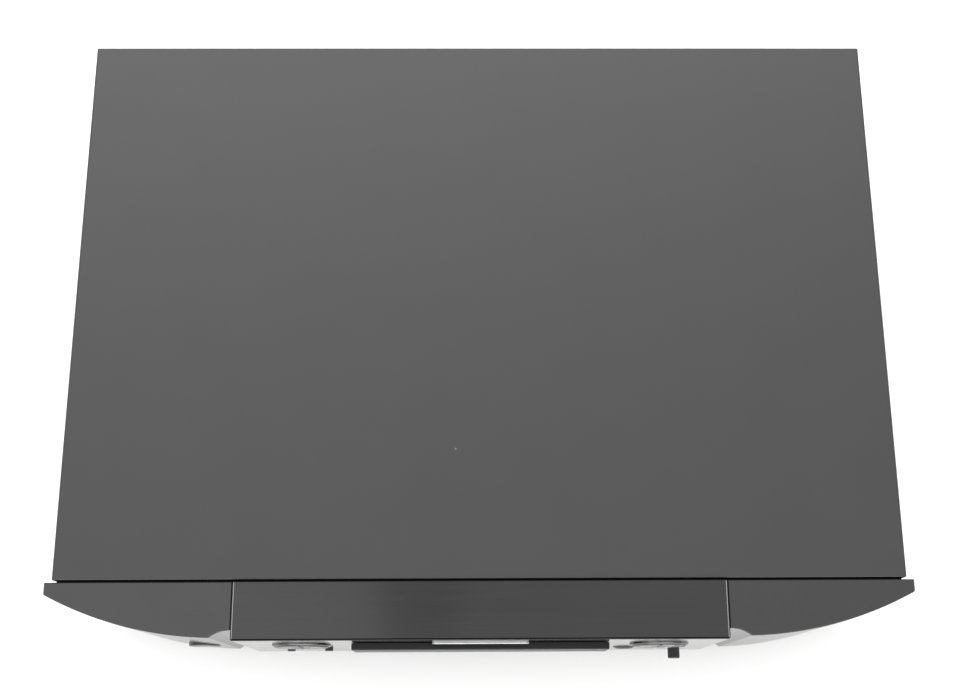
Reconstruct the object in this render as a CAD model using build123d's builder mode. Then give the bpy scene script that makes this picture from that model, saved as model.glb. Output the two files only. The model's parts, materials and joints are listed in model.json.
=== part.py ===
"""Tray-loading compact disc player, as an assembly of separate pieces.

Frame: +X to the right seen from the front, +Y to the rear, +Z up, millimetres.
The origin is on the surface the feet stand on, under the middle of the whole box.
"""
from build123d import *
import os
from math import acos, atan2, cos, degrees, hypot, pi, radians, sin, tan

# ---------------------------------------------------------------- driving dimensions
PANEL_WIDTH = 440.0  # over the two wings
PANEL_DEPTH = 29.3  # fascia front plane to the back of the wings
SEAM = 1.2  # dark gap between front panel and cover
COVER_WIDTH = 433.0
COVER_LENGTH = 298.7
SOCKET_REACH = 11.3  # audio sockets behind the cover's rear edge
KNOB_REACH = 6.2  # level knob in front of the fascia
TOP = 107.0  # top of the fascia cap
FOOT_HEIGHT = 13.0
RUN = 0.05  # running gap of a shaft in its bush, on the radius

overall_depth = KNOB_REACH + PANEL_DEPTH + SEAM + COVER_LENGTH + SOCKET_REACH
FRONT = KNOB_REACH - overall_depth / 2  # y of the fascia's front plane
PANEL_BACK = FRONT + PANEL_DEPTH
COVER_FRONT = PANEL_BACK + SEAM
COVER_BACK = COVER_FRONT + COVER_LENGTH

# fascia and what shows on it
FASCIA_WIDTH = 250.0
PANEL_BOTTOM = 14.0
PLATE = 5.0  # thickness of the fascia's front plate
WALL = 2.5
PLATE_BACK = FRONT + PLATE
WING_TOP = TOP - 0.8
COVER_TOP = TOP - 0.6
STEEL = 1.2
CLUSTER_X, CLUSTER_Z, CLUSTER_RADIUS = 93.4, 74.0, 14.2
ROW_Z = 43.0  # centre line of sockets, small buttons and knob
DOOR_WIDTH, DOOR_HEIGHT, DOOR_Z, DOOR_REACH = 132.0, 20.0, 80.0, 3.85
WINDOW_WIDTH, WINDOW_HEIGHT, WINDOW_Z = 118.0, 27.0, 46.5
USB_X, MODE_X, DISPLAY_X = -92.5, -102.7, -82.3
JACK_X, KNOB_X = 78.4, 105.5
JACK_BORE, KNOB_RADIUS = 3.2, 3.2
POWER_X, POWER_RADIUS = -150.0, 8.5
POWER_FACE = FRONT + 1.3
BOARD_FACE = FRONT + 12.85  # front face of the upright circuit board

# disc and mechanism
DISC_Y = FRONT + 68.8  # spindle axis
TRAY_HALF, TRAY_TOP, TRAY_FLOOR, TRAY_UNDER, RAIL_BOTTOM = 63.5, 86.0, 81.4, 79.4, 74.0
TRAY_REAR = FRONT + 171.0
SLOT_HALF = 23.0
FRAME_HALF, FRAME_FLOOR, FRAME_DECK, FRAME_TOP = 67.2, 56.0, 58.5, 88.4
FRAME_FRONT, FRAME_REAR = FRONT + 15.2, FRONT + 187.0
OPENING_HALF = 42.0
MODULE = 1.0  # of every gear
GEAR_Y = FRONT + 25.6  # axis line of the loading gears
TRAY_GEAR_X, TRAY_GEAR_TEETH, PINION_TEETH = -35.5, 24, 10
DRIVE_X = TRAY_GEAR_X + MODULE * (TRAY_GEAR_TEETH + PINION_TEETH) / 2
RACK_X = TRAY_GEAR_X - MODULE * TRAY_GEAR_TEETH / 2
MOTOR_X, PULLEY_RADIUS, MOTOR_PULLEY_RADIUS = 25.0, 12.5, 3.0
PULLEY_Z, PULLEY_HEIGHT, BELT = 60.2, 4.4, 1.2
HINGE_Y, HINGE_Z, HINGE_PIN = DISC_Y + 102.4, 71.0, 2.0
CAM_TRAVEL, TRAVERSE_TILT = 18.0, 6.0
CAM_PIN_Y, CAM_PIN_Z, CAM_PIN = DISC_Y - 24.0, 75.0, 1.4
SLIDER_FRONT, SLIDER_BACK = CAM_PIN_Y - 4.25, CAM_PIN_Y - 2.65
SLED_TEETH, SLED_PITCH_X = 12, 27.5
SLED_GEAR_X = SLED_PITCH_X + MODULE * SLED_TEETH / 2
SLED_GEAR_Y = DISC_Y + 43.0
ROD_X, ROD_Z, ROD = 20.0, 75.2, 1.5
TRAVERSE_Z, TRAVERSE_TOP = 70.0, 72.5

# case
BASE_Z = FOOT_HEIGHT
BASE_TOP = BASE_Z + 1.0
COVER_INSIDE = COVER_WIDTH / 2 - STEEL
FLANGE_OUTSIDE = COVER_INSIDE - 0.4
REAR_FACE = COVER_BACK - STEEL - 0.2  # outer face of the rear panel
BASE_BACK = REAR_FACE - STEEL - 0.3
FOOT_X, FOOT_YS = 168.0, (FRONT + 52.0, COVER_BACK - 42.0)
SIDE_SCREW_YS, SIDE_SCREW_Z = (FRONT + 75.0, COVER_BACK - 45.0), 26.0
REAR_SCREW_XS, REAR_SCREW_Z = (-190.0, 0.0, 190.0), 99.5
OUTPUT_X, DIGITAL_X, REMOTE_X, SOCKET_ZS = 165.0, 120.0, 80.0, (76.0, 50.0)
SLEEVE, SLEEVE_BORE, PIN_BORE = 4.15, 3.2, 1.6
INLET_X, INLET_Z = -168.0, 50.0
BOARD_Z = 22.0  # underside of the flat circuit boards
CABLE_SHELF = FRAME_DECK + 2.0  # top of the shelf that carries the flat cable
POWER_BOARD_POSTS = ((-200, -90), (-110, -90), (-200, 10), (-110, 10))
MAIN_BOARD_POSTS = ((88, -60), (196, -60), (88, 140), (196, 140))

os.makedirs("parts", exist_ok=True)


# ---------------------------------------------------------------- helpers
def save(piece, name):
    """Labels a finished piece and writes its STEP file."""
    piece.label = name
    export_step(piece, f"parts/{name}.step")


def save_group(pieces, name):
    """Writes separate solids that share one node."""
    group = Compound(children=list(pieces), label=name)
    export_step(group, f"parts/{name}.step")


def span(side, near, far):
    """The limits of a stretch from `near` to `far` on one side of the middle, low one first."""
    return sorted((side * near, side * far))


def upright(y):
    """A drawing plane across the machine at depth y: x is X, y is Z, and the normal faces the front."""
    return Plane.XZ.offset(-y)


def level(z):
    """A horizontal drawing plane at height z."""
    return Plane.XY.offset(z)


def block(x0, x1, y0, y1, z0, z1, mode=Mode.ADD):
    """A box given by its limits, for use inside a BuildPart."""
    with Locations(((x0 + x1) / 2, (y0 + y1) / 2, (z0 + z1) / 2)):
        return Box(x1 - x0, y1 - y0, z1 - z0, mode=mode)


def rod(x, y, z, radius, height, mode=Mode.ADD):
    """An upright cylinder standing on height z."""
    with Locations((x, y, z)):
        return Cylinder(radius, height, align=(Align.CENTER, Align.CENTER, Align.MIN), mode=mode)


def front_rod(x, z, y0, y1, radius, mode=Mode.ADD):
    """A cylinder along Y from y0 to y1."""
    with Locations((x, (y0 + y1) / 2, z)):
        return Cylinder(radius, y1 - y0, rotation=(90, 0, 0), mode=mode)


def cross_rod(x0, x1, y, z, radius, mode=Mode.ADD):
    """A cylinder along X from x0 to x1."""
    with Locations(((x0 + x1) / 2, y, z)):
        return Cylinder(radius, x1 - x0, rotation=(0, 90, 0), mode=mode)


def gear_points(teeth, phase=0.0, backlash=0.10):
    """Outline of an involute gear with a tooth centred on the angle `phase`, in degrees."""
    pressure = radians(20)
    pitch = MODULE * teeth / 2
    base, tip, root = pitch * cos(pressure), pitch + 0.9 * MODULE, pitch - 1.2 * MODULE
    start = max(base, root)

    def half_tooth(radius):
        angle = acos(min(1.0, base / radius))
        return pi / (2 * teeth) - backlash / pitch + (tan(pressure) - pressure) - (tan(angle) - angle)

    flank = [start + (tip - start) * step / 4 for step in range(5)]
    points = []
    for tooth in range(teeth):
        middle = radians(phase) + 2 * pi * tooth / teeth
        rising = [(root, -half_tooth(start))] + [(r, -half_tooth(r)) for r in flank]
        falling = [(r, -a) for r, a in reversed(rising)]
        points += [(r * cos(middle + a), r * sin(middle + a)) for r, a in rising + falling]
    return points


def rack_points(back_x, pitch_x, gap_y, low_y, high_y, backlash=0.10):
    """Outline of a rack along Y with teeth towards +X and a gap centred on gap_y."""
    pitch = pi * MODULE
    slope = tan(radians(20))
    root, tip = pitch_x - 1.2 * MODULE, pitch_x + 0.9 * MODULE
    at_root = pitch / 4 - backlash + 1.2 * MODULE * slope
    at_tip = pitch / 4 - backlash - 0.9 * MODULE * slope
    first = int((low_y - gap_y) / pitch) + 0.5
    points = [(back_x, low_y), (root, low_y)]
    centre = gap_y + first * pitch
    while centre + pitch / 2 < high_y:
        if centre - at_root > low_y:
            points += [(root, centre - at_root), (tip, centre - at_tip)]
            points += [(tip, centre + at_tip), (root, centre + at_root)]
        centre += pitch
    return points + [(root, high_y), (back_x, high_y)]


def pan_screw(plane, head, head_height, shank, length):
    """A cross-head screw: the head stands on the plane, the shank goes down through it."""
    with BuildPart(plane) as screw:
        with Locations((0, 0, head_height / 2)):
            Cylinder(head, head_height)
        fillet(screw.edges().group_by(Axis(plane.origin, plane.z_dir))[-1], head_height * 0.45)
        with Locations((0, 0, -length / 2)):
            Cylinder(shank, length)
        with Locations((0, 0, head_height)):
            Box(head * 1.1, 0.7, head_height, mode=Mode.SUBTRACT)
            Box(0.7, head * 1.1, head_height, mode=Mode.SUBTRACT)
    return screw.part


# ---------------------------------------------------------------- case: pan, cover, rear panel, bracket
with BuildPart() as base_pan:
    block(-FLANGE_OUTSIDE, FLANGE_OUTSIDE, COVER_FRONT + 0.1, BASE_BACK, BASE_Z, BASE_Z + 22)
    fillet(base_pan.edges().filter_by(Axis.Y).group_by(Axis.Z)[0], 1.6)
    room = (-FLANGE_OUTSIDE + 1, FLANGE_OUTSIDE - 1, COVER_FRONT + 1.1, BASE_BACK)
    block(*room, BASE_TOP, BASE_Z + 23, Mode.SUBTRACT)
    for side in (-1, 1):
        for y in SIDE_SCREW_YS:
            cross_rod(*span(side, 210, 220), y, SIDE_SCREW_Z, 1.7, Mode.SUBTRACT)
    with Locations(*[(side * FOOT_X, y, BASE_Z) for side in (-1, 1) for y in FOOT_YS]):
        Cylinder(2.1, 6, mode=Mode.SUBTRACT)
    with BuildSketch(level(BASE_Z)):
        with Locations((-118, 40), (118, -20)):
            with GridLocations(9, 40, 7, 2):
                SlotOverall(32, 3, rotation=90)
    extrude(amount=3, mode=Mode.SUBTRACT)
    for x, y in POWER_BOARD_POSTS + MAIN_BOARD_POSTS:
        rod(x, y, BASE_TOP, 3.0, BOARD_Z - BASE_TOP)
save(base_pan.part, "base_pan")

with BuildPart() as top_cover:
    block(-COVER_WIDTH / 2, COVER_WIDTH / 2, COVER_FRONT, COVER_BACK, BASE_Z + 2, COVER_TOP)
    fillet(top_cover.edges().filter_by(Axis.Y).group_by(Axis.Z)[-1], 1.4)
    inside = (-COVER_INSIDE, COVER_INSIDE)
    block(*inside, COVER_FRONT - 1, COVER_BACK - STEEL, BASE_Z, COVER_TOP - STEEL, Mode.SUBTRACT)
    block(*inside, COVER_BACK - 3, COVER_BACK + 1, BASE_Z, COVER_TOP - 13, Mode.SUBTRACT)
    chamfer(top_cover.faces().sort_by(Axis.Y)[0].edges().group_by(Axis.Z)[-1], 0.25)
    for y in SIDE_SCREW_YS:
        cross_rod(-COVER_WIDTH / 2 - 1, -COVER_INSIDE + 1, y, SIDE_SCREW_Z, 2.2, Mode.SUBTRACT)
        cross_rod(COVER_INSIDE - 1, COVER_WIDTH / 2 + 1, y, SIDE_SCREW_Z, 2.2, Mode.SUBTRACT)
    for x in REAR_SCREW_XS:
        front_rod(x, REAR_SCREW_Z, COVER_BACK - 2, COVER_BACK + 1, 2.2, Mode.SUBTRACT)
save(top_cover.part, "top_cover")

with BuildPart() as rear_panel:
    with BuildSketch(upright(REAR_FACE)):
        with Locations((0, (BASE_Z + COVER_TOP - STEEL - 0.2) / 2)):
            RectangleRounded(2 * COVER_INSIDE - 0.6, COVER_TOP - STEEL - 0.2 - BASE_Z, 1.0)
        for x in (OUTPUT_X, DIGITAL_X, REMOTE_X):
            for z in SOCKET_ZS:
                with Locations((x, z)):
                    if (x, z) == (DIGITAL_X, SOCKET_ZS[0]):
                        Rectangle(13.0, 13.0, mode=Mode.SUBTRACT)
                    else:
                        Circle(5.2, mode=Mode.SUBTRACT)
        with Locations((INLET_X, INLET_Z)):
            Rectangle(26.4, 20.4, mode=Mode.SUBTRACT)
        with Locations(*[(x, REAR_SCREW_Z) for x in REAR_SCREW_XS]):
            Circle(1.7, mode=Mode.SUBTRACT)
        with Locations((-60, 60)):
            with GridLocations(7, 26, 12, 2):
                SlotOverall(20, 3, rotation=90, mode=Mode.SUBTRACT)
    extrude(amount=STEEL)
save(rear_panel.part, "rear_panel")

with BuildPart() as front_bracket:
    with BuildSketch(upright(PANEL_BACK)):
        with Locations((0, (BASE_Z + 1.3 + COVER_TOP - STEEL) / 2)):
            Rectangle(2 * FLANGE_OUTSIDE - 2, COVER_TOP - STEEL - BASE_Z - 2.0)
        with Locations((0, 69)):
            RectangleRounded(152, 62, 3, mode=Mode.SUBTRACT)
        for side in (-1, 1):
            with Locations((side * 150, 60)):
                RectangleRounded(70, 50, 4, mode=Mode.SUBTRACT)
    extrude(amount=-1.0)
save(front_bracket.part, "front_bracket")

# ---------------------------------------------------------------- front panel
VALLEY_X, VALLEY_DEPTH = FASCIA_WIDTH / 2 + 0.2, 5.25  # groove beside the fascia
BROW_X, BROW_DEPTH = 135.7, 1.6  # sharp edge between the groove and the bow of the wing
BOW_X, BOW_DEPTH, CORNER_DEPTH = 176.0, 6.75, 23.2


def wing(side):
    """One end of the front panel: a bowed shell, open at the back, scooped beside the fascia."""

    def at(x, depth):
        return (side * x, FRONT + depth)

    with BuildPart() as shell:
        with BuildSketch(level(PANEL_BOTTOM)) as plan:
            with BuildLine():
                ThreePointArc(at(VALLEY_X, VALLEY_DEPTH), at(130.9, 4.25), at(BROW_X, BROW_DEPTH))
                end = at(PANEL_WIDTH / 2, CORNER_DEPTH)
                ThreePointArc(at(BROW_X, BROW_DEPTH), at(BOW_X, BOW_DEPTH), end)
                Polyline(
                    end,
                    at(PANEL_WIDTH / 2, PANEL_DEPTH),
                    at(VALLEY_X, PANEL_DEPTH),
                    at(VALLEY_X, VALLEY_DEPTH),
                )
            make_face()
        extrude(amount=WING_TOP - PANEL_BOTTOM)
        end_face = shell.faces().filter_by(Axis.X).sort_by(lambda face: side * face.center().X)[-1]
        fillet(end_face.edges().filter_by(Axis.Z).sort_by(Axis.Y)[0], 1.2)
        chamfer(shell.faces().sort_by(Axis.Z)[-1].edges(), 0.4)
        with BuildSketch(level(PANEL_BOTTOM + WALL)):
            add(plan.sketch.moved(Location((0, 0, WALL))))
            offset(amount=-WALL)
            with Locations(at((VALLEY_X + PANEL_WIDTH / 2) / 2, PANEL_DEPTH - 2)):
                Rectangle(PANEL_WIDTH / 2 - VALLEY_X - 2 * WALL, 6)
        extrude(amount=WING_TOP - PANEL_BOTTOM - 2 * WALL, mode=Mode.SUBTRACT)
        if side < 0:
            front_rod(POWER_X, ROW_Z, FRONT - 2, FRONT + 12, POWER_RADIUS + 0.35, Mode.SUBTRACT)
    return shell.part


save(wing(-1), "left_wing")
save(wing(1), "right_wing")

with BuildPart() as centre_fascia:
    half = FASCIA_WIDTH / 2
    block(-half, half, FRONT, PANEL_BACK, PANEL_BOTTOM, TOP)
    chamfer(centre_fascia.faces().sort_by(Axis.Y)[0].edges(), 0.8)
    chamfer(centre_fascia.faces().sort_by(Axis.Z)[-1].edges().group_by(Axis.Y)[1:], 0.35)
    inside = (-half + WALL, half - WALL, PLATE_BACK, PANEL_BACK + 1, PANEL_BOTTOM + WALL, TOP - WALL)
    block(*inside, Mode.SUBTRACT)
    with BuildSketch(upright(FRONT)):
        with Locations((0, DOOR_Z)):
            RectangleRounded(DOOR_WIDTH - 2.6, DOOR_HEIGHT - 3.4, 1.5)
        with Locations((0, WINDOW_Z)):
            RectangleRounded(WINDOW_WIDTH, WINDOW_HEIGHT, 2)
        with Locations((-CLUSTER_X, CLUSTER_Z), (CLUSTER_X, CLUSTER_Z)):
            Circle(CLUSTER_RADIUS)
        with Locations((USB_X, ROW_Z)):
            RectangleRounded(13.8, 6.4, 0.5)
        with Locations((MODE_X, ROW_Z), (DISPLAY_X, ROW_Z)):
            Circle(2.45)
        with Locations((JACK_X, ROW_Z)):
            Circle(5.0)
        with Locations((KNOB_X, ROW_Z)):
            Circle(3.3)
    extrude(amount=-PLATE - 1, mode=Mode.SUBTRACT)
    front_rod(KNOB_X, ROW_Z, FRONT - 1, FRONT + 0.8, 6.6, Mode.SUBTRACT)
save(centre_fascia.part, "centre_fascia")

with BuildPart() as display_window:
    with BuildSketch(upright(FRONT + 0.3)):
        with Locations((0, WINDOW_Z)):
            RectangleRounded(WINDOW_WIDTH - 0.4, WINDOW_HEIGHT - 0.4, 1.8)
    extrude(amount=-PLATE + 0.3)
    chamfer(display_window.faces().sort_by(Axis.Y)[0].edges(), 0.3)
    block(-62, 62, PLATE_BACK, PLATE_BACK + 1.2, WINDOW_Z - 15.5, WINDOW_Z + 15.5)
save(display_window.part, "display_window")

with BuildPart() as display_module:
    block(-56, 56, PLATE_BACK + 4.9, PLATE_BACK + 6.5, WINDOW_Z - 13, WINDOW_Z + 13)
    block(-48, 48, PLATE_BACK + 1.4, PLATE_BACK + 4.9, WINDOW_Z - 10, WINDOW_Z + 10)
    fillet(display_module.faces().sort_by(Axis.Y)[0].edges(), 0.5)
    for x in (-45, -15, 15, 45):
        block(x - 6, x + 6, PLATE_BACK + 6.5, PLATE_BACK + 7.6, WINDOW_Z - 12, WINDOW_Z - 9)
save(display_module.part, "display_module")

with BuildPart() as front_circuit_board:
    with BuildSketch(upright(BOARD_FACE)):
        with Locations((0, 60.5)):
            RectangleRounded(238, 81, 2)
        with Locations((0, 81)):
            Rectangle(144, 50, mode=Mode.SUBTRACT)
        with Locations((-114, 96), (114, 96), (-114, 25), (114, 25)):
            Circle(1.6, mode=Mode.SUBTRACT)
    extrude(amount=-1.6)
    for x in (-110, -76, 76, 110):
        block(x - 3, x + 3, BOARD_FACE + 1.6, BOARD_FACE + 3.6, 26, 32)
save(front_circuit_board.part, "front_circuit_board")

with BuildPart() as badge_bar:
    with BuildSketch(upright(FRONT)):
        with Locations((0, 100.5)):
            SlotOverall(49, 4.2)
    extrude(amount=1.6)
    chamfer(badge_bar.faces().sort_by(Axis.Y)[0].edges(), 0.4)
save(badge_bar.part, "badge_bar")

rings = []
for x in (-CLUSTER_X, CLUSTER_X):
    with BuildPart() as control_ring:
        with BuildSketch(upright(FRONT)):
            with Locations((x, CLUSTER_Z)):
                Circle(CLUSTER_RADIUS + 1.1)
                Circle(CLUSTER_RADIUS, mode=Mode.SUBTRACT)
        extrude(amount=1.1)
        front_edges = control_ring.edges().filter_by(GeomType.CIRCLE).group_by(Axis.Y)[0]
        fillet(front_edges.sort_by(SortBy.RADIUS)[-1], 0.6)
    rings.append(control_ring.part)
save_group(rings, "control_rings")

# ---------------------------------------------------------------- sockets and controls of the front
with BuildPart() as usb_socket:
    block(USB_X - 6.6, USB_X + 6.6, FRONT + 0.6, FRONT + 12.6, ROW_Z - 2.9, ROW_Z + 2.9)
    block(USB_X - 6.25, USB_X + 6.25, FRONT, FRONT + 12.0, ROW_Z - 2.55, ROW_Z + 2.55, Mode.SUBTRACT)
    block(USB_X - 5.2, USB_X + 5.2, FRONT + 1.6, FRONT + 12.2, ROW_Z + 0.3, ROW_Z + 2.0)
save(usb_socket.part, "usb_socket")

with BuildPart() as headphone_jack:
    block(JACK_X - 6, JACK_X + 6, FRONT + 5.2, BOARD_FACE - 0.2, ROW_Z - 7, ROW_Z + 6)
    front_rod(JACK_X, ROW_Z, FRONT - 0.75, FRONT + 6, 4.85)
    fillet(headphone_jack.edges().filter_by(GeomType.CIRCLE).sort_by(Axis.Y)[0], 0.5)
    front_rod(JACK_X, ROW_Z, FRONT - 2, FRONT + 12.0, JACK_BORE, Mode.SUBTRACT)
save(headphone_jack.part, "headphone_jack")

with BuildPart() as level_potentiometer:
    block(KNOB_X - 5.5, KNOB_X + 5.5, FRONT + 5.2, BOARD_FACE - 0.2, ROW_Z - 5.5, ROW_Z + 5.5)
    front_rod(KNOB_X, ROW_Z, FRONT + 1.3, FRONT + 6, 3.0)
    front_rod(KNOB_X, ROW_Z, FRONT, FRONT + 11.5, 1.5 + RUN, Mode.SUBTRACT)
save(level_potentiometer.part, "level_potentiometer")

with BuildPart() as level_knob:
    front_rod(KNOB_X, ROW_Z, FRONT - KNOB_REACH, FRONT + 0.4, KNOB_RADIUS)
    fillet(level_knob.edges().filter_by(GeomType.CIRCLE).sort_by(Axis.Y)[0], 0.5)
    for turn in range(20):
        angle = 2 * pi * turn / 20
        front_rod(
            KNOB_X + (KNOB_RADIUS + 0.12) * cos(angle),
            ROW_Z + (KNOB_RADIUS + 0.12) * sin(angle),
            FRONT - KNOB_REACH + 0.9,
            FRONT - 1.2,
            0.28,
            Mode.SUBTRACT,
        )
    tip = FRONT - KNOB_REACH
    block(KNOB_X - 0.25, KNOB_X + 0.25, tip - 1, tip + 0.4, ROW_Z + 0.8, ROW_Z + 4, Mode.SUBTRACT)
    front_rod(KNOB_X, ROW_Z, FRONT + 0.4, FRONT + 11.0, 1.5)
save(level_knob.part, "level_knob")

with BuildPart() as power_switch:
    block(POWER_X - 8, POWER_X + 8, FRONT + 18.0, FRONT + 28.8, ROW_Z - 7, ROW_Z + 7)
    fillet(power_switch.edges().filter_by(Axis.Y), 1.0)
    front_rod(POWER_X, ROW_Z, FRONT + 17.0, FRONT + 18.0, 4.5)
save(power_switch.part, "power_switch")

with BuildPart() as power_button:
    front_rod(POWER_X, ROW_Z, POWER_FACE, FRONT + 7.4, POWER_RADIUS)
    fillet(power_button.edges().filter_by(GeomType.CIRCLE).sort_by(Axis.Y)[0], 0.6)
    front_rod(POWER_X, ROW_Z, FRONT + 7.4, FRONT + 8.4, POWER_RADIUS + 1.3)
    front_rod(POWER_X, ROW_Z, FRONT + 8.4, FRONT + 13.4, 3.0)
save(power_button.part, "power_button")


def round_button(x, name):
    """A small round push button with a retaining flange behind the fascia."""
    with BuildPart() as button:
        front_rod(x, ROW_Z, FRONT - 1.6, PLATE_BACK + 0.5, 2.2)
        fillet(button.edges().filter_by(GeomType.CIRCLE).sort_by(Axis.Y)[0], 0.4)
        front_rod(x, ROW_Z, PLATE_BACK + 0.5, PLATE_BACK + 1.7, 3.0)
        front_rod(x, ROW_Z, PLATE_BACK + 1.7, BOARD_FACE - 1.6, 1.4)
    save(button.part, name)


def sector_button(centre_x, start, sweep, name):
    """A push button shaped as a sector of the round cluster, from `start` over `sweep` degrees."""
    radius, gap = CLUSTER_RADIUS - 0.35, 0.55
    middle = radians(start + sweep / 2)
    cap = (FRONT - 1.6, PLATE_BACK + 0.5, radius)
    flange = (PLATE_BACK + 0.5, PLATE_BACK + 1.7, radius + 1.0)
    with BuildPart() as button:
        for y0, y1, reach in (cap, flange):
            with BuildSketch(upright(y1)):
                with Locations((centre_x, CLUSTER_Z)):
                    Circle(reach)
                for edge in (start, start + sweep):
                    beyond = edge - 90 if edge == start else edge + 90
                    with Locations(Location((centre_x, CLUSTER_Z, 0), beyond)):
                        with Locations((20 - gap, 0)):
                            Rectangle(40, 80, mode=Mode.SUBTRACT)
            extrude(amount=y1 - y0)
            if reach == radius:
                fillet(button.faces().sort_by(Axis.Y)[0].edges(), 0.5)
        stem_x, stem_z = centre_x + radius * 0.5 * cos(middle), CLUSTER_Z + radius * 0.5 * sin(middle)
        front_rod(stem_x, stem_z, PLATE_BACK + 1.7, BOARD_FACE - 1.6, 2.0)
    save(button.part, name)


round_button(MODE_X, "mode_button")
round_button(DISPLAY_X, "display_button")
sector_button(-CLUSTER_X, 90, 180, "back_button")
sector_button(-CLUSTER_X, -90, 180, "forward_button")
sector_button(CLUSTER_X, 90, 180, "play_button")
sector_button(CLUSTER_X, -90, 90, "stop_button")
sector_button(CLUSTER_X, 0, 90, "open_button")

# ---------------------------------------------------------------- feet and case screws
foot_places = {
    "foot_front_left": (-FOOT_X, FOOT_YS[0]),
    "foot_front_right": (FOOT_X, FOOT_YS[0]),
    "foot_rear_left": (-FOOT_X, FOOT_YS[1]),
    "foot_rear_right": (FOOT_X, FOOT_YS[1]),
}
pads, screws = [], []
for name, (x, y) in foot_places.items():
    with BuildPart() as foot:
        rod(x, y, 1.2, 25.0, FOOT_HEIGHT - 1.2)
        chamfer(foot.edges().filter_by(GeomType.CIRCLE).sort_by(Axis.Z)[-1], 1.5)
        fillet(foot.edges().filter_by(GeomType.CIRCLE).sort_by(Axis.Z)[0], 1.0)
        rod(x, y, 1.0, 9.0, 6.5, Mode.SUBTRACT)
        rod(x, y, 1.0, 2.1, FOOT_HEIGHT, Mode.SUBTRACT)
        with Locations((x, y, 9.0)):
            Torus(25.3, 1.0, mode=Mode.SUBTRACT)
    save(foot.part, name)
    with BuildPart() as pad:
        rod(x, y, 0, 22.0, 1.2)
        rod(x, y, -1, 12.0, 4, Mode.SUBTRACT)
        fillet(pad.edges().filter_by(GeomType.CIRCLE).group_by(Axis.Z)[0], 0.4)
    pads.append(pad.part)
    screws.append(pan_screw(Plane((x, y, 7.5), z_dir=(0, 0, -1)), 3.8, 2.4, 1.9, 8.2))
save_group(pads, "foot_pads")

for side in (-1, 1):
    for y in SIDE_SCREW_YS:
        side_plane = Plane((side * COVER_WIDTH / 2, y, SIDE_SCREW_Z), z_dir=(side, 0, 0))
        screws.append(pan_screw(side_plane, 3.6, 1.8, 1.5, 6))
for x in REAR_SCREW_XS:
    screws.append(pan_screw(Plane((x, COVER_BACK, REAR_SCREW_Z), z_dir=(0, 1, 0)), 3.4, 1.8, 1.5, 6))
save_group(screws, "case_screws")

# ---------------------------------------------------------------- rear sockets
OPTICAL_X, OPTICAL_Z = DIGITAL_X, SOCKET_ZS[0]
round_sockets = [(x, z) for x in (OUTPUT_X, REMOTE_X) for z in SOCKET_ZS]
round_sockets.append((DIGITAL_X, SOCKET_ZS[1]))
blocks = []
for x in (OUTPUT_X, DIGITAL_X, REMOTE_X):
    with BuildPart() as socket_block:
        low = SOCKET_ZS[1] - 11
        high = SOCKET_ZS[1] + 8 if x == DIGITAL_X else SOCKET_ZS[0] + 11
        block(x - 9, x + 9, REAR_FACE - STEEL - 12, REAR_FACE - STEEL, low, high)
        fillet(socket_block.edges().filter_by(Axis.Y), 1.5)
        for at_x, z in round_sockets:
            if at_x == x:
                front_rod(x, z, REAR_FACE - STEEL, REAR_FACE + 2.0, 5.1)
                front_rod(x, z, REAR_FACE - 12, REAR_FACE + 9.0, SLEEVE_BORE)
                front_rod(x, z, REAR_FACE - 6, REAR_FACE + 12.0, PIN_BORE, Mode.SUBTRACT)
    blocks.append(socket_block.part)
save_group(blocks, "audio_socket_blocks")

sleeves = []
for x, z in round_sockets:
    with BuildPart() as sleeve:
        front_rod(x, z, REAR_FACE + 2.0, COVER_BACK + SOCKET_REACH, SLEEVE)
        chamfer(sleeve.edges().filter_by(GeomType.CIRCLE).sort_by(Axis.Y)[-1], 0.4)
        front_rod(x, z, REAR_FACE + 1.0, COVER_BACK + SOCKET_REACH + 1, SLEEVE_BORE, Mode.SUBTRACT)
    sleeves.append(sleeve.part)
save_group(sleeves, "socket_sleeves")

FLANGE_FACE = REAR_FACE + 4.2  # outer face of the optical socket's flange
SHUTTER_Y, SHUTTER_Z, SHUTTER_BARREL = FLANGE_FACE - 1.0, OPTICAL_Z + 3.7, 0.8


def square_rod(x, z, half, y0, y1, mode=Mode.ADD):
    """A square bar along Y, for use inside a BuildPart."""
    block(x - half, x + half, y0, y1, z - half, z + half, mode)


with BuildPart() as optical_output:
    square_rod(OPTICAL_X, OPTICAL_Z, 7.5, REAR_FACE, FLANGE_FACE)
    fillet(optical_output.edges().filter_by(Axis.Y), 1.0)
    square_rod(OPTICAL_X, OPTICAL_Z, 6.4, REAR_FACE - 14, REAR_FACE)
    square_rod(OPTICAL_X, OPTICAL_Z, 4.7, REAR_FACE - 11, FLANGE_FACE + 1, Mode.SUBTRACT)
    cross_rod(OPTICAL_X - 5.5, OPTICAL_X + 5.5, SHUTTER_Y, SHUTTER_Z, 0.45 + RUN, Mode.SUBTRACT)
save(optical_output.part, "optical_output")

with BuildPart() as optical_shutter:
    cross_rod(OPTICAL_X - 4.4, OPTICAL_X + 4.4, SHUTTER_Y, SHUTTER_Z, SHUTTER_BARREL)
    leaf = (OPTICAL_X - 4.4, OPTICAL_X + 4.4, SHUTTER_Y - 0.45, SHUTTER_Y + 0.45)
    block(*leaf, OPTICAL_Z - 4.4, SHUTTER_Z)
    cross_rod(OPTICAL_X - 5.2, OPTICAL_X + 5.2, SHUTTER_Y, SHUTTER_Z, 0.45)
save(optical_shutter.part, "optical_shutter")

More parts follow.
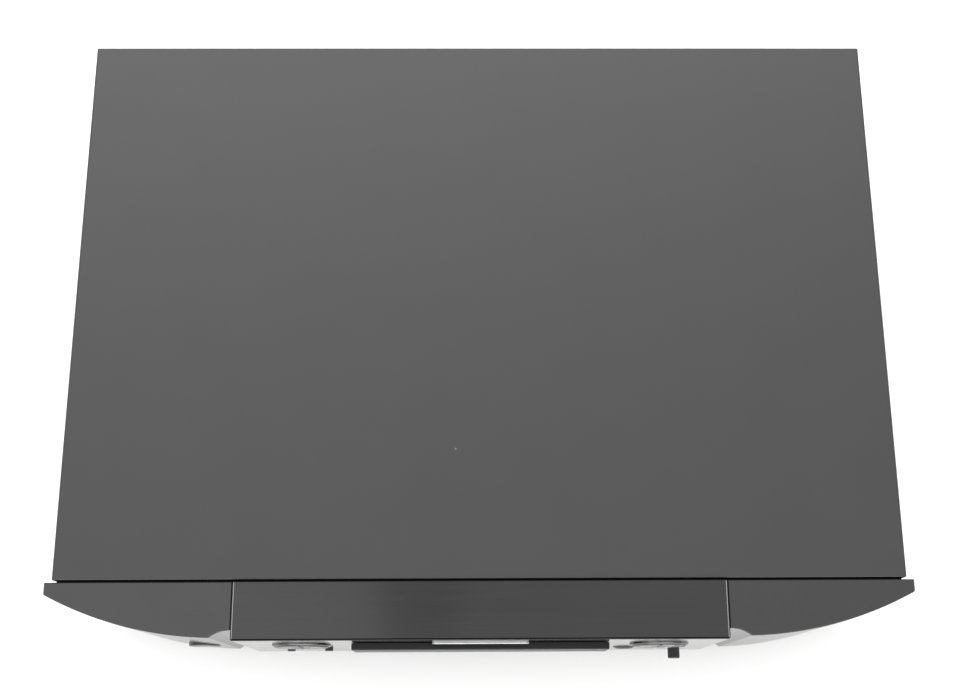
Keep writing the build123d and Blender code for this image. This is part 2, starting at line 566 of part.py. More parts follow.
with BuildPart() as mains_inlet:
    block(INLET_X - 16, INLET_X + 16, REAR_FACE, REAR_FACE + 2.2, INLET_Z - 12, INLET_Z + 12)
    fillet(mains_inlet.edges().filter_by(Axis.Y), 2.0)
    block(INLET_X - 13, INLET_X + 13, REAR_FACE - 16, REAR_FACE, INLET_Z - 10, INLET_Z + 10)
    inlet_width = (INLET_X - 11.2, INLET_X + 11.2)
    block(*inlet_width, REAR_FACE - 13, REAR_FACE + 3, INLET_Z - 7.7, INLET_Z + 7.7, Mode.SUBTRACT)
    for x in (INLET_X - 5.5, INLET_X + 5.5):
        block(x - 1, x + 1, REAR_FACE - 14, REAR_FACE - 1.0, INLET_Z - 2, INLET_Z + 2)
save(mains_inlet.part, "mains_inlet")

# ---------------------------------------------------------------- power supply and boards
TRANSFORMER_X, TRANSFORMER_Y = -155.0, 90.0
with BuildPart() as power_transformer:
    rod(TRANSFORMER_X, TRANSFORMER_Y, BASE_TOP + 2.4, 44.0, 40.0)
    fillet(power_transformer.edges().filter_by(GeomType.CIRCLE), 9.0)
    rod(TRANSFORMER_X, TRANSFORMER_Y, BASE_TOP, 13.9, 41.0)
    rod(TRANSFORMER_X, TRANSFORMER_Y, BASE_TOP + 41.0, 22.0, 3.0)
    rod(TRANSFORMER_X, TRANSFORMER_Y, BASE_TOP + 44.0, 4.5, 3.5)
save(power_transformer.part, "power_transformer")

with BuildPart() as power_board:
    block(-207, -103, -98, 18, BOARD_Z, BOARD_Z + 1.6)
    fillet(power_board.edges().filter_by(Axis.Z), 2.0)
    block(-200, -160, 2, 6, BOARD_Z + 1.6, BOARD_Z + 34)
    for x in range(-198, -160, 5):
        block(x, x + 1.4, 6, 15, BOARD_Z + 1.6, BOARD_Z + 34)
save(power_board.part, "power_board")

large, middling, small = (11, 34), (8, 26), (6.3, 20)  # can radius and height
capacitor_places = {
    (-188, -70): large,
    (-160, -70): large,
    (-132, -70): middling,
    (-188, -34): middling,
    (-165, -34): middling,
    (-140, -34): small,
}
capacitors = []
for (x, y), (radius, height) in capacitor_places.items():
    with BuildPart() as capacitor:
        rod(x, y, BOARD_Z + 1.6, radius, height)
        fillet(capacitor.edges().filter_by(GeomType.CIRCLE).sort_by(Axis.Z)[-1], 1.0)
        rod(x, y, BOARD_Z + 1.1 + height, radius * 0.7, 2, Mode.SUBTRACT)
    capacitors.append(capacitor.part)
save_group(capacitors, "reservoir_capacitors")

with BuildPart() as main_board:
    block(80, 205, -68, 146, BOARD_Z, BOARD_Z + 1.6)
    fillet(main_board.edges().filter_by(Axis.Z), 2.0)
    chips = ((120, -20, 22, 22), (160, -10, 14, 14), (170, 50, 18, 12), (130, 60, 12, 26))
    for x, y, width, depth in chips:
        chip = (x - width / 2, x + width / 2, y - depth / 2, y + depth / 2)
        block(*chip, BOARD_Z + 1.6, BOARD_Z + 4.0)
    with Locations(*[(x, y, BOARD_Z + 1.6) for x in (105, 190) for y in (20, 50, 80, 110)]):
        Cylinder(5, 12, align=(Align.CENTER, Align.CENTER, Align.MIN))
save(main_board.part, "main_board")

with BuildPart() as ribbon_cable:
    with BuildSketch(upright(FRAME_REAR + 1.5)):
        with BuildLine():
            shelf, board = (46, CABLE_SHELF), (92, BOARD_Z + 1.6)
            route = FilletPolyline(shelf, (73, CABLE_SHELF), (73, 38), (92, 38), board, radius=3.5)
            offset(route, amount=0.25, side=Side.LEFT, closed=True)
        make_face()
    extrude(amount=-20)
save(ribbon_cable.part, "ribbon_cable")

# ---------------------------------------------------------------- disc mechanism: fixed frame
with BuildPart() as loader_frame:
    block(-FRAME_HALF, FRAME_HALF, FRAME_FRONT, FRAME_REAR, FRAME_FLOOR, FRAME_DECK)
    well = (-OPENING_HALF, OPENING_HALF, CAM_PIN_Y - 0.85, HINGE_Y + 6.5, FRAME_FLOOR - 1, FRAME_DECK + 1)
    block(*well, Mode.SUBTRACT)
    for side in (-1, 1):
        block(*span(side, 64.4, FRAME_HALF), FRAME_FRONT, FRAME_REAR, FRAME_DECK, FRAME_TOP)
        block(*span(side, 60.5, 64.4), FRAME_FRONT + 2, FRAME_REAR, TRAY_TOP + 0.7, FRAME_TOP)
        block(*span(side, 60.5, 64.4), FRAME_FRONT, FRAME_REAR, RAIL_BOTTOM - 2.8, RAIL_BOTTOM - 0.4)
        cheek = span(side, OPENING_HALF + 0.6, OPENING_HALF + 3.6)
        block(*cheek, HINGE_Y - 5.5, HINGE_Y + 5.5, FRAME_DECK, HINGE_Z + 4.5)
        cross_rod(*cheek, HINGE_Y, HINGE_Z, HINGE_PIN + RUN, Mode.SUBTRACT)
        for y in (FRONT + 37.0, FRAME_REAR - 8):
            block(side * 62 - 5, side * 62 + 5, y - 5, y + 5, BASE_TOP, FRAME_FLOOR)
    block(-64.4, 64.4, FRAME_REAR - 3, FRAME_REAR, FRAME_DECK, FRAME_DECK + 12)
    block(40, 60, FRAME_REAR, FRAME_REAR + 24, FRAME_DECK, CABLE_SHELF)
    block(-30, 45, SLIDER_BACK + 0.3, CAM_PIN_Y - 0.85, FRAME_DECK, FRAME_DECK + 1.5)
    block(4, 16, SLIDER_FRONT - 1.9, SLIDER_FRONT - 0.3, FRAME_DECK, FRAME_DECK + 3)
    rod(TRAY_GEAR_X, GEAR_Y, FRAME_DECK, 2.6, 65.0 - FRAME_DECK)
    rod(TRAY_GEAR_X, GEAR_Y, 65.0, 2.0, 13.4)
    rod(DRIVE_X, GEAR_Y, FRAME_DECK, 1.5, 12.4)
    rod(MOTOR_X, GEAR_Y, FRAME_FLOOR - 1, 4.0, 6, Mode.SUBTRACT)
save(loader_frame.part, "loader_frame")

with BuildPart() as clamp_bridge:
    block(-FRAME_HALF, FRAME_HALF, DISC_Y - 17, DISC_Y + 17, FRAME_TOP, FRAME_TOP + 1.2)
    fillet(clamp_bridge.edges().filter_by(Axis.Z), 2.0)
    for edge in (-17.0, 15.8):
        block(-50, 50, DISC_Y + edge, DISC_Y + edge + 1.2, FRAME_TOP + 1.2, FRAME_TOP + 5)
    rod(0, DISC_Y, FRAME_TOP - 1, 10.5, 4, Mode.SUBTRACT)
save(clamp_bridge.part, "clamp_bridge")

with BuildPart() as clamp_puck:
    rod(0, DISC_Y, 83.7, 15.0, 2.0)
    rod(0, DISC_Y, 85.7, 9.5, 4.8)
    rod(0, DISC_Y, 90.5, 13.5, 1.3)
    fillet(clamp_puck.edges().filter_by(GeomType.CIRCLE).sort_by(Axis.Z)[-1], 0.5)
    rod(0, DISC_Y, 83.0, 8.2, 3.4, Mode.SUBTRACT)
save(clamp_puck.part, "clamp_puck")

with BuildPart() as loading_motor:
    rod(MOTOR_X, GEAR_Y, FRAME_FLOOR - 14, 10.0, 14)
    fillet(loading_motor.edges().filter_by(GeomType.CIRCLE).sort_by(Axis.Z)[0], 1.2)
    rod(MOTOR_X, GEAR_Y, FRAME_FLOOR, 3.6, 2.6)
    rod(MOTOR_X, GEAR_Y, FRAME_FLOOR - 10, 1.0 + RUN, 14, Mode.SUBTRACT)
save(loading_motor.part, "loading_motor")


def pulley_wheel(x, radius):
    """A grooved belt wheel at the belt's height, with low flanges, for use inside a BuildPart."""
    flange = 0.9
    rod(x, GEAR_Y, PULLEY_Z, radius + flange, PULLEY_HEIGHT)
    with BuildPart(mode=Mode.PRIVATE) as groove:
        rod(x, GEAR_Y, PULLEY_Z + flange, radius + 2, PULLEY_HEIGHT - 2 * flange)
        rod(x, GEAR_Y, PULLEY_Z, radius, PULLEY_HEIGHT, Mode.SUBTRACT)
    add(groove.part, mode=Mode.SUBTRACT)


with BuildPart() as motor_pulley:
    pulley_wheel(MOTOR_X, MOTOR_PULLEY_RADIUS)
    rod(MOTOR_X, GEAR_Y, FRAME_FLOOR - 9, 1.0, PULLEY_Z - FRAME_FLOOR + 9)
save(motor_pulley.part, "motor_pulley")

with BuildPart() as drive_belt:
    # cosine and sine of the angle where the belt leaves the wheels
    lean = (PULLEY_RADIUS - MOTOR_PULLEY_RADIUS) / (MOTOR_X - DRIVE_X)
    lift = (1 - lean**2) ** 0.5
    with BuildSketch(level(PULLEY_Z + 1.4)):
        for grow, mode in ((BELT, Mode.ADD), (0.03, Mode.SUBTRACT)):
            big, small = PULLEY_RADIUS + grow, MOTOR_PULLEY_RADIUS + grow
            off_wheel, off_motor = big * lift, small * lift
            wheel_x, motor_x = DRIVE_X + big * lean, MOTOR_X + small * lean
            with BuildLine(mode=Mode.PRIVATE) as loop:
                Line((wheel_x, GEAR_Y + off_wheel), (motor_x, GEAR_Y + off_motor))
                ThreePointArc(
                    (motor_x, GEAR_Y + off_motor), (MOTOR_X + small, GEAR_Y), (motor_x, GEAR_Y - off_motor)
                )
                Line((motor_x, GEAR_Y - off_motor), (wheel_x, GEAR_Y - off_wheel))
                ThreePointArc(
                    (wheel_x, GEAR_Y - off_wheel), (DRIVE_X - big, GEAR_Y), (wheel_x, GEAR_Y + off_wheel)
                )
            make_face(loop.edges(), mode=mode)
    extrude(amount=1.6)
save(drive_belt.part, "drive_belt")

with BuildPart() as drive_wheel:
    pulley_wheel(DRIVE_X, PULLEY_RADIUS)
    with BuildSketch(level(PULLEY_Z + PULLEY_HEIGHT)):
        with Locations((DRIVE_X, GEAR_Y)):
            Polygon(*gear_points(PINION_TEETH, phase=180.0 / PINION_TEETH), align=None)
    extrude(amount=6.0)
    rod(DRIVE_X, GEAR_Y, PULLEY_Z - 1, 1.5 + RUN, 14, Mode.SUBTRACT)
save(drive_wheel.part, "drive_wheel")

with BuildPart() as tray_gear:
    with BuildSketch(level(65.4)):
        with Locations((TRAY_GEAR_X, GEAR_Y)):
            Polygon(*gear_points(TRAY_GEAR_TEETH), align=None)
            Circle(2.0 + RUN, mode=Mode.SUBTRACT)
    extrude(amount=13.2)
save(tray_gear.part, "tray_gear")

# ---------------------------------------------------------------- disc tray
with BuildPart() as disc_tray:
    block(-TRAY_HALF, TRAY_HALF, FRONT - 0.3, TRAY_REAR, TRAY_UNDER, TRAY_TOP)
    fillet(disc_tray.edges().filter_by(Axis.Y).group_by(Axis.Z)[-1], 0.8)
    for side in (-1, 1):
        block(*span(side, 61.0, TRAY_HALF), FRONT + 3, TRAY_REAR, RAIL_BOTTOM, TRAY_UNDER)
    rod(0, DISC_Y, TRAY_FLOOR, 61.0, 10, Mode.SUBTRACT)
    rod(0, DISC_Y, TRAY_FLOOR - 1.0, 41.0, 10, Mode.SUBTRACT)
    rod(0, DISC_Y - 62, TRAY_FLOOR + 1.0, 16.0, 10, Mode.SUBTRACT)
    rod(0, DISC_Y, TRAY_UNDER - 1, SLOT_HALF, 10, Mode.SUBTRACT)
    block(-SLOT_HALF, SLOT_HALF, DISC_Y, TRAY_REAR + 1, TRAY_UNDER - 1, TRAY_TOP + 1, Mode.SUBTRACT)
    for side in (-1, 1):
        pocket = span(side, SLOT_HALF + 4, TRAY_HALF - 6)
        block(*pocket, DISC_Y + 64, TRAY_REAR - 4, TRAY_UNDER + 2, TRAY_TOP + 1, Mode.SUBTRACT)
    with BuildSketch(level(75.2)):
        Polygon(*rack_points(-53.5, RACK_X, GEAR_Y, FRONT + 16, TRAY_REAR - 3), align=None)
    extrude(amount=TRAY_UNDER - 75.2)
save(disc_tray.part, "disc_tray")

with BuildPart() as tray_door:
    with BuildSketch(upright(FRONT - 0.3)):
        with Locations((0, DOOR_Z)):
            Rectangle(DOOR_WIDTH, DOOR_HEIGHT)
    extrude(amount=DOOR_REACH - 0.3)
    fillet(tray_door.edges().filter_by(Axis.Y), 0.8)
    chamfer(tray_door.faces().sort_by(Axis.Y)[0].edges(), 0.5)
save(tray_door.part, "tray_door")

# ---------------------------------------------------------------- traverse: spindle, sled and cam
with BuildPart() as cam_slider:
    tilt = radians(TRAVERSE_TILT)
    arm = HINGE_Y - (SLIDER_FRONT + SLIDER_BACK) / 2  # hinge to the middle of the slider
    drop = arm * sin(tilt) + (CAM_PIN_Z - HINGE_Z) * (1 - cos(tilt))
    with BuildSketch(upright(SLIDER_BACK)):
        with Locations((-CAM_TRAVEL / 2 + 1, (FRAME_DECK + 0.3 + TRAY_UNDER - 1.0) / 2)):
            RectangleRounded(CAM_TRAVEL + 22, TRAY_UNDER - 1.3 - FRAME_DECK, 1.0)
        with Locations((-CAM_TRAVEL / 2, CAM_PIN_Z - drop / 2)):
            slope, track = degrees(atan2(drop, CAM_TRAVEL)), hypot(CAM_TRAVEL, drop)
            SlotCenterToCenter(track, 2 * CAM_PIN + 0.6, rotation=slope, mode=Mode.SUBTRACT)
    extrude(amount=SLIDER_BACK - SLIDER_FRONT)
save(cam_slider.part, "cam_slider")

with BuildPart() as traverse_frame:
    block(-40, 40, CAM_PIN_Y, HINGE_Y + 4, TRAVERSE_Z, TRAVERSE_TOP)
    fillet(traverse_frame.edges().filter_by(Axis.Z), 3.0)
    block(-13, 13, DISC_Y + 18, DISC_Y + 78, TRAVERSE_Z - 1, TRAVERSE_TOP + 1, Mode.SUBTRACT)
    rod(0, DISC_Y, TRAVERSE_Z - 1, 4.05, 5, Mode.SUBTRACT)
    rod(SLED_GEAR_X, SLED_GEAR_Y, TRAVERSE_Z - 1, 2.0, 5, Mode.SUBTRACT)
    for x in (-ROD_X, ROD_X):
        for y in (DISC_Y + 5, DISC_Y + 80):
            block(x - 2.5, x + 2.5, y, y + 3, TRAVERSE_TOP, 78.0)
        front_rod(x, ROD_Z, DISC_Y + 5, DISC_Y + 83, ROD, Mode.SUBTRACT)
    block(-4, 4, CAM_PIN_Y, CAM_PIN_Y + 1.5, TRAVERSE_TOP, CAM_PIN_Z + 2)
    front_rod(0, CAM_PIN_Z, CAM_PIN_Y - 4.9, CAM_PIN_Y, CAM_PIN)
    cross_rod(-OPENING_HALF - 4, OPENING_HALF + 4, HINGE_Y, HINGE_Z, HINGE_PIN)
save(traverse_frame.part, "traverse_frame")

guide_rods = []
for x in (-ROD_X, ROD_X):
    with BuildPart() as guide_rod:
        front_rod(x, ROD_Z, DISC_Y + 5, DISC_Y + 83, ROD)
    guide_rods.append(guide_rod.part)
save_group(guide_rods, "guide_rods")

with BuildPart() as spindle_motor:
    rod(0, DISC_Y, 63.0, 13.0, 7.0)
    fillet(spindle_motor.edges().filter_by(GeomType.CIRCLE).sort_by(Axis.Z)[0], 1.0)
    rod(0, DISC_Y, 70.0, 4.0, 8.5)
    rod(0, DISC_Y, 65.0, 1.5 + RUN, 15, Mode.SUBTRACT)
save(spindle_motor.part, "spindle_motor")

with BuildPart() as turntable:
    rod(0, DISC_Y, 80.2, 15.0, 2.0)
    rod(0, DISC_Y, 82.2, 7.4, 2.2)
    chamfer(turntable.edges().filter_by(GeomType.CIRCLE).sort_by(Axis.Z)[-1], 1.2)
    rod(0, DISC_Y, 66.0, 1.5, 14.2)
save(turntable.part, "turntable")

SLED_FRONT, LENS_Y = DISC_Y + 10.0, DISC_Y + 25.0
with BuildPart() as laser_sled:
    block(-24, 24, SLED_FRONT, SLED_FRONT + 30, 73.0, 77.4)
    fillet(laser_sled.edges().filter_by(Axis.Z), 2.0)
    front_rod(-ROD_X, ROD_Z, SLED_FRONT - 1, SLED_FRONT + 31, ROD + RUN, Mode.SUBTRACT)
    front_rod(ROD_X, ROD_Z, SLED_FRONT - 1, SLED_FRONT + 31, ROD + RUN, Mode.SUBTRACT)
    block(-9, 9, LENS_Y - 9, LENS_Y + 9, 77.4, 78.2)
    rod(0, LENS_Y, 78.2, 4.2, 1.0)
    rod(0, LENS_Y, 78.7, 3.1, 1.0, Mode.SUBTRACT)
    with BuildSketch(level(73.3)):
        Polygon(*rack_points(23.0, SLED_PITCH_X, SLED_GEAR_Y, DISC_Y + 12.5, DISC_Y + 53), align=None)
    extrude(amount=3.5)
save(laser_sled.part, "laser_sled")

with BuildPart() as objective_lens:
    rod(0, LENS_Y, 78.7, 3.05, 1.5)
    fillet(objective_lens.edges().filter_by(GeomType.CIRCLE).sort_by(Axis.Z)[-1], 0.9)
save(objective_lens.part, "objective_lens")

with BuildPart() as sled_gear:
    with BuildSketch(level(73.3)):
        with Locations((SLED_GEAR_X, SLED_GEAR_Y)):
            Polygon(*gear_points(SLED_TEETH), align=None)
    extrude(amount=3.5)
    rod(SLED_GEAR_X, SLED_GEAR_Y, 62.0, 1.0, 11.3)
save(sled_gear.part, "sled_gear")

with BuildPart() as sled_motor:
    rod(SLED_GEAR_X, SLED_GEAR_Y, 60.0, 7.5, 10.0)
    fillet(sled_motor.edges().filter_by(GeomType.CIRCLE).sort_by(Axis.Z)[0], 1.0)
    rod(SLED_GEAR_X, SLED_GEAR_Y, 61.0, 1.0 + RUN, 10, Mode.SUBTRACT)
save(sled_motor.part, "sled_motor")
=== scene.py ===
# %% [markdown]
# # The looks of a full-size disc player
# The solids of the player come ready made, each with its own name and place. This lesson dresses them: it sets up the
# studio, gives each solid its finish, and adds the fine pieces that a solid model leaves out, such as printed
# symbols, windings, fins, contacts, and painted shade and highlight lines on the cap. All lengths are in metres, with
# +X to the right seen from the front, +Y to the rear and +Z up.

# %% Load the solids
import json
from math import cos, pi, radians, sin

import bmesh
import bpy
from mathutils import Matrix, Vector


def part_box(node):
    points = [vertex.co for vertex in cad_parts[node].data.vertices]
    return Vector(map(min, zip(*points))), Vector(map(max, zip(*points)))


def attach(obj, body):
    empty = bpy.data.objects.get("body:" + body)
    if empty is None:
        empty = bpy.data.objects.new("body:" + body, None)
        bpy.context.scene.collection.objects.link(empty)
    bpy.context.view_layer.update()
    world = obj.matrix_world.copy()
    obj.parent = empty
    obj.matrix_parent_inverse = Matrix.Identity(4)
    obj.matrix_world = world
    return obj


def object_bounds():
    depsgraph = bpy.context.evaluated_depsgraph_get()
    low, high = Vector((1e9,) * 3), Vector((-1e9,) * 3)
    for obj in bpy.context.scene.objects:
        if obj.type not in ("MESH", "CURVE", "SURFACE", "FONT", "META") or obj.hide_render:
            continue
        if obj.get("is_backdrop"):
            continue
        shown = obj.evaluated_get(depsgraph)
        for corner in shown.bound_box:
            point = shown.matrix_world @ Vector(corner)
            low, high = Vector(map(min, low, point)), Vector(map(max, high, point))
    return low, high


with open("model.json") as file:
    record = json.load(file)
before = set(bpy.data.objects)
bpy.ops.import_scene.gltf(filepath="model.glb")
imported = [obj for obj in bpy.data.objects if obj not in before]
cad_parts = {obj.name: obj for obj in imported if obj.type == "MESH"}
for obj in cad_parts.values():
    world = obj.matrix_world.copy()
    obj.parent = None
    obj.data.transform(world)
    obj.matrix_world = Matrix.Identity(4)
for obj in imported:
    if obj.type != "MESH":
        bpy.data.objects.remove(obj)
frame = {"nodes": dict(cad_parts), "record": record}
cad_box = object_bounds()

record = frame["record"]
slot_of = {entry["node"]: entry["material_slot"] for entry in record["subparts"]}

# %% [markdown]
# ## Where things are
# Most places are read from the box of a named solid, so that a change of the solids moves the fine pieces with them.
# The rows of vents and the rear sockets share a solid, so their places in it are given in millimetres further down.
# A few values that are used often get names of their own.

# %% Named places
MM = 0.001


def middle(node):
    """The centre of a solid's box."""
    low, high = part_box(node)
    return (low + high) / 2


fascia_low, fascia_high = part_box("centre_fascia")
cover_low, cover_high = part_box("top_cover")
rear_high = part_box("rear_panel")[1]
fascia_front = fascia_low.y
print("fascia front", round(fascia_front, 4), "cover top", round(cover_high.z, 4))

# %% [markdown]
# ## Camera
# The player is looked at from above, with the camera just in front of it and tipped 16 degrees, so the cover fills
# the picture and the front panel is a thin strip at its foot. A lens of 48 mm on a 36 mm sensor gives the mild
# perspective that makes the cover's rear edge shorter than its front edge.

# %% Camera
SENSOR_WIDTH, LENS = 36.0, 48.2  # in mm
BESIDE, IN_FRONT, ABOVE = -0.0026, 0.0721, 0.6660  # from the middle of the cover's front edge
TIPPED, ROLLED, TURNED = radians(16.10), radians(-0.50), radians(-0.284)

camera_data = bpy.data.cameras.new("camera")
camera_data.sensor_width = SENSOR_WIDTH
camera_data.lens = LENS
camera_data.clip_start = 0.01
camera = bpy.data.objects.new("camera", camera_data)
camera.location = (BESIDE, cover_low.y - IN_FRONT, cover_high.z + ABOVE)
camera.rotation_euler = (TIPPED, ROLLED, TURNED)
bpy.context.scene.collection.objects.link(camera)
bpy.context.scene.camera = camera
print("camera at", tuple(round(value, 4) for value in camera.location))

# %% [markdown]
# ## Studio
# A wide white floor, a bright room, and large soft lamps. The black paint mirrors what is above it, so the lamps'
# sizes and places matter more than their strength: the brightest one stands behind on the left, and gives the cover
# its slow fall from grey at the far left to near black at the front. The one in front lights the floor and the panel.

# %% Floor and lamps
FLOOR_HALF = 4.0
ROOM_BRIGHTNESS = 0.97
PAPER_WHITE = (0.93, 0.93, 0.925, 1)


def lamp(name, place, target, width, depth, watts):
    """A rectangular soft lamp at a place, turned to a target; its size in metres."""
    data = bpy.data.lights.new(name, "AREA")
    data.shape = "RECTANGLE"
    data.size, data.size_y, data.energy = width, depth, watts
    lamp_object = bpy.data.objects.new(name, data)
    lamp_object.location = place
    aim = Vector(target) - Vector(place)
    lamp_object.rotation_euler = aim.to_track_quat("-Z", "Y").to_euler()
    bpy.context.scene.collection.objects.link(lamp_object)


def studio_floor():
    """A pale sheet under the player."""
    mesh = bpy.data.meshes.new("studio_floor")
    corners = [(-FLOOR_HALF, -FLOOR_HALF, 0), (FLOOR_HALF, -FLOOR_HALF, 0)]
    corners += [(FLOOR_HALF, FLOOR_HALF, 0), (-FLOOR_HALF, FLOOR_HALF, 0)]
    mesh.from_pydata(corners, [], [(0, 1, 2, 3)])
    floor = bpy.data.objects.new("studio_floor", mesh)
    bpy.context.scene.collection.objects.link(floor)
    paper = bpy.data.materials.new("studio_paper")
    paper.use_nodes = True
    shader = paper.node_tree.nodes["Principled BSDF"]
    shader.inputs["Base Color"].default_value = PAPER_WHITE
    shader.inputs["Roughness"].default_value = 0.9
    mesh.materials.append(paper)
    floor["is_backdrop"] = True


studio_floor()
lamp("lamp_back", (-0.2, 1.65, 1.9), (0, 0.2, 0.1), 3.4, 1.1, 56)
lamp("lamp_left", (-0.95, -0.1, 1.9), (-0.4, 0.0, 0.0), 0.8, 1.6, 4.5)
lamp("lamp_right", (0.75, -0.1, 1.9), (0.4, 0, 0.0), 0.8, 1.6, 2.2)
lamp("lamp_front", (0.1, -2.2, 0.9), (0, -0.35, 0.0), 3.0, 1.2, 56)

world = bpy.data.worlds.new("bright_room")
world.use_nodes = True
background = world.node_tree.nodes["Background"]
background.inputs["Color"].default_value = (1.0, 1.0, 1.0, 1)
background.inputs["Strength"].default_value = ROOM_BRIGHTNESS
bpy.context.scene.world = world
bpy.context.scene.view_settings.view_transform = "Standard"
print("lamps", [light.name for light in bpy.data.lights])

# %% [markdown]
# ## How a finish is built
# Every finish is one shader with patterns on it. The patterns read the piece's own coordinates in metres, so the
# grain has its real size. `Finish` below holds the few steps that all of them share: a noise of a given grain size,
# a colour that wanders between two tones, a roughness that wanders in a range, and a bump of a given height.

# %% The helper for finishes
DUST_SPACING, DUST_PATCH = 0.021, 0.05  # size of the cells, and of the patches that hold dust, in metres
DUST_SHARE = 0.016  # a speck's radius as a share of its cell
DUST_TONE = (0.34, 0.33, 0.32)


class Finish:
    """A material made of one Principled shader and patterns in object coordinates."""

    def __init__(self, name, metallic=0.0, **settings):
        self.material = bpy.data.materials.new(name)
        self.material.use_nodes = True
        self.tree = self.material.node_tree
        self.shader = self.tree.nodes["Principled BSDF"]
        self.shader.inputs["Metallic"].default_value = metallic
        for socket, value in settings.items():
            self.shader.inputs[socket.replace("_", " ")].default_value = value
        self.place = self.tree.nodes.new("ShaderNodeTexCoord").outputs["Object"]
        self.bump = None

    def node(self, kind, **values):
        made = self.tree.nodes.new(kind)
        for key, value in values.items():
            setattr(made, key, value)
        return made

    def link(self, source, target):
        self.tree.links.new(source, target)

    def stretched(self, scale):
        """Coordinates scaled along each axis, for grain that runs one way."""
        mapping = self.node("ShaderNodeMapping")
        mapping.inputs["Scale"].default_value = scale
        self.link(self.place, mapping.inputs["Vector"])
        return mapping.outputs["Vector"]

    def noise(self, size, detail=2.0, stretch=None, roughness=0.5):
        """Noise whose grain has this size in metres; stretch says how much longer the grain is along each axis."""
        texture = self.node("ShaderNodeTexNoise")
        texture.inputs["Detail"].default_value = detail
        texture.inputs["Roughness"].default_value = roughness
        if stretch is None:
            texture.inputs["Scale"].default_value = 1 / size
            self.link(self.place, texture.inputs["Vector"])
        else:
            texture.inputs["Scale"].default_value = 1.0
            scale = tuple(1 / (size * length) for length in stretch)
            self.link(self.stretched(scale), texture.inputs["Vector"])
        return texture.outputs["Fac"]

    def cells(self, size, randomness=1.0, output="Distance"):
        """A cell pattern whose cells have this size in metres."""
        texture = self.node("ShaderNodeTexVoronoi")
        texture.inputs["Scale"].default_value = 1 / size
        texture.inputs["Randomness"].default_value = randomness
        self.link(self.place, texture.inputs["Vector"])
        return texture.outputs[output]

    def between(self, value, low, high, start=0.3, end=0.7):
        """Spreads a pattern over a range of numbers."""
        ranged = self.node("ShaderNodeMapRange")
        ranged.inputs["From Min"].default_value = start
        ranged.inputs["From Max"].default_value = end
        ranged.inputs["To Min"].default_value = low
        ranged.inputs["To Max"].default_value = high
        self.link(value, ranged.inputs["Value"])
        return ranged.outputs["Result"]

    def mixed(self, value, first, second):
        """A colour between two: each is a colour or a socket."""
        mix = self.node("ShaderNodeMix", data_type="RGBA")
        self.link(value, mix.inputs["Factor"])
        for socket, colour in (("A", first), ("B", second)):
            target = [s for s in mix.inputs if s.name == socket and s.type == "RGBA"][0]
            if isinstance(colour, bpy.types.NodeSocket):
                self.link(colour, target)
            else:
                target.default_value = (*colour, 1)
        return [s for s in mix.outputs if s.type == "RGBA"][0]

    def colour(self, socket):
        self.link(socket, self.shader.inputs["Base Color"])

    def roughness(self, socket):
        self.link(socket, self.shader.inputs["Roughness"])

    def raised(self, height, distance):
        """Adds relief: distance is the relief's height in metres."""
        bump = self.node("ShaderNodeBump")
        bump.inputs["Distance"].default_value = distance
        bump.inputs["Strength"].default_value = 1.0
        self.link(height, bump.inputs["Height"])
        if self.bump is not None:
            self.link(self.bump, bump.inputs["Normal"])
        self.bump = bump.outputs["Normal"]
        self.link(self.bump, self.shader.inputs["Normal"])

    def compare(self, value, limit):
        """1 where the pattern is below a limit, with a short soft edge."""
        return self.between(value, 1.0, 0.0, limit * 0.9, limit * 1.1)

    def times(self, first, second):
        product = self.node("ShaderNodeMath", operation="MULTIPLY")
        for socket, value in zip(product.inputs, (first, second)):
            if isinstance(value, (int, float)):
                socket.default_value = value
            else:
                self.link(value, socket)
        return product.outputs[0]

    def dusted(self, tone):
        """A colour with a few pale specks of dust on it: one cell in some has a speck at its centre."""
        speck = self.compare(self.cells(DUST_SPACING), DUST_SHARE)
        kept = self.between(self.noise(DUST_PATCH, 1.0), 0, 1, 0.56, 0.62)
        return self.mixed(self.times(speck, kept), tone, DUST_TONE)


finishes = {}
print("finish helper ready")

# %% [markdown]
# ## Painted steel
# The cover is sheet steel with a fine-textured satin paint. Up close such paint has a grain of about a third of a
# millimetre. From further off it looks even, with a faint mottle, and after some years of use a few specks of dust
# lie on it. The specks are the centres of large random cells, kept only where a second, slower noise is high.

# %% Cover paint


def case_paint():
    """Fine-textured satin black paint with a few specks of dust."""
    paint = Finish("case_paint", Specular_IOR_Level=0.5)
    grain = paint.noise(0.00034, 3.0)
    mottle = paint.noise(0.035, 2.0)
    tone = paint.mixed(paint.between(grain, 0, 1), (0.011, 0.0107, 0.0107), (0.033, 0.0325, 0.0325))
    tone = paint.mixed(paint.between(mottle, 0, 0.35), tone, (0.026, 0.0255, 0.0255))
    paint.colour(paint.dusted(tone))
    paint.roughness(paint.between(grain, 0.40, 0.56))
    paint.raised(grain, 0.00003)
    return paint.material


finishes["case_paint"] = case_paint()
print(sorted(finishes))

# %% [markdown]
# ## Brushed black aluminium
# The middle of the front panel is aluminium, brushed along its length and anodised black. The brush leaves hairlines
# many centimetres long and a few hundredths of a millimetre wide, so the noise is stretched along X. The metal is
# dark, but at a grazing angle it mirrors the floor almost like a bright one.

# %% Anodised panel


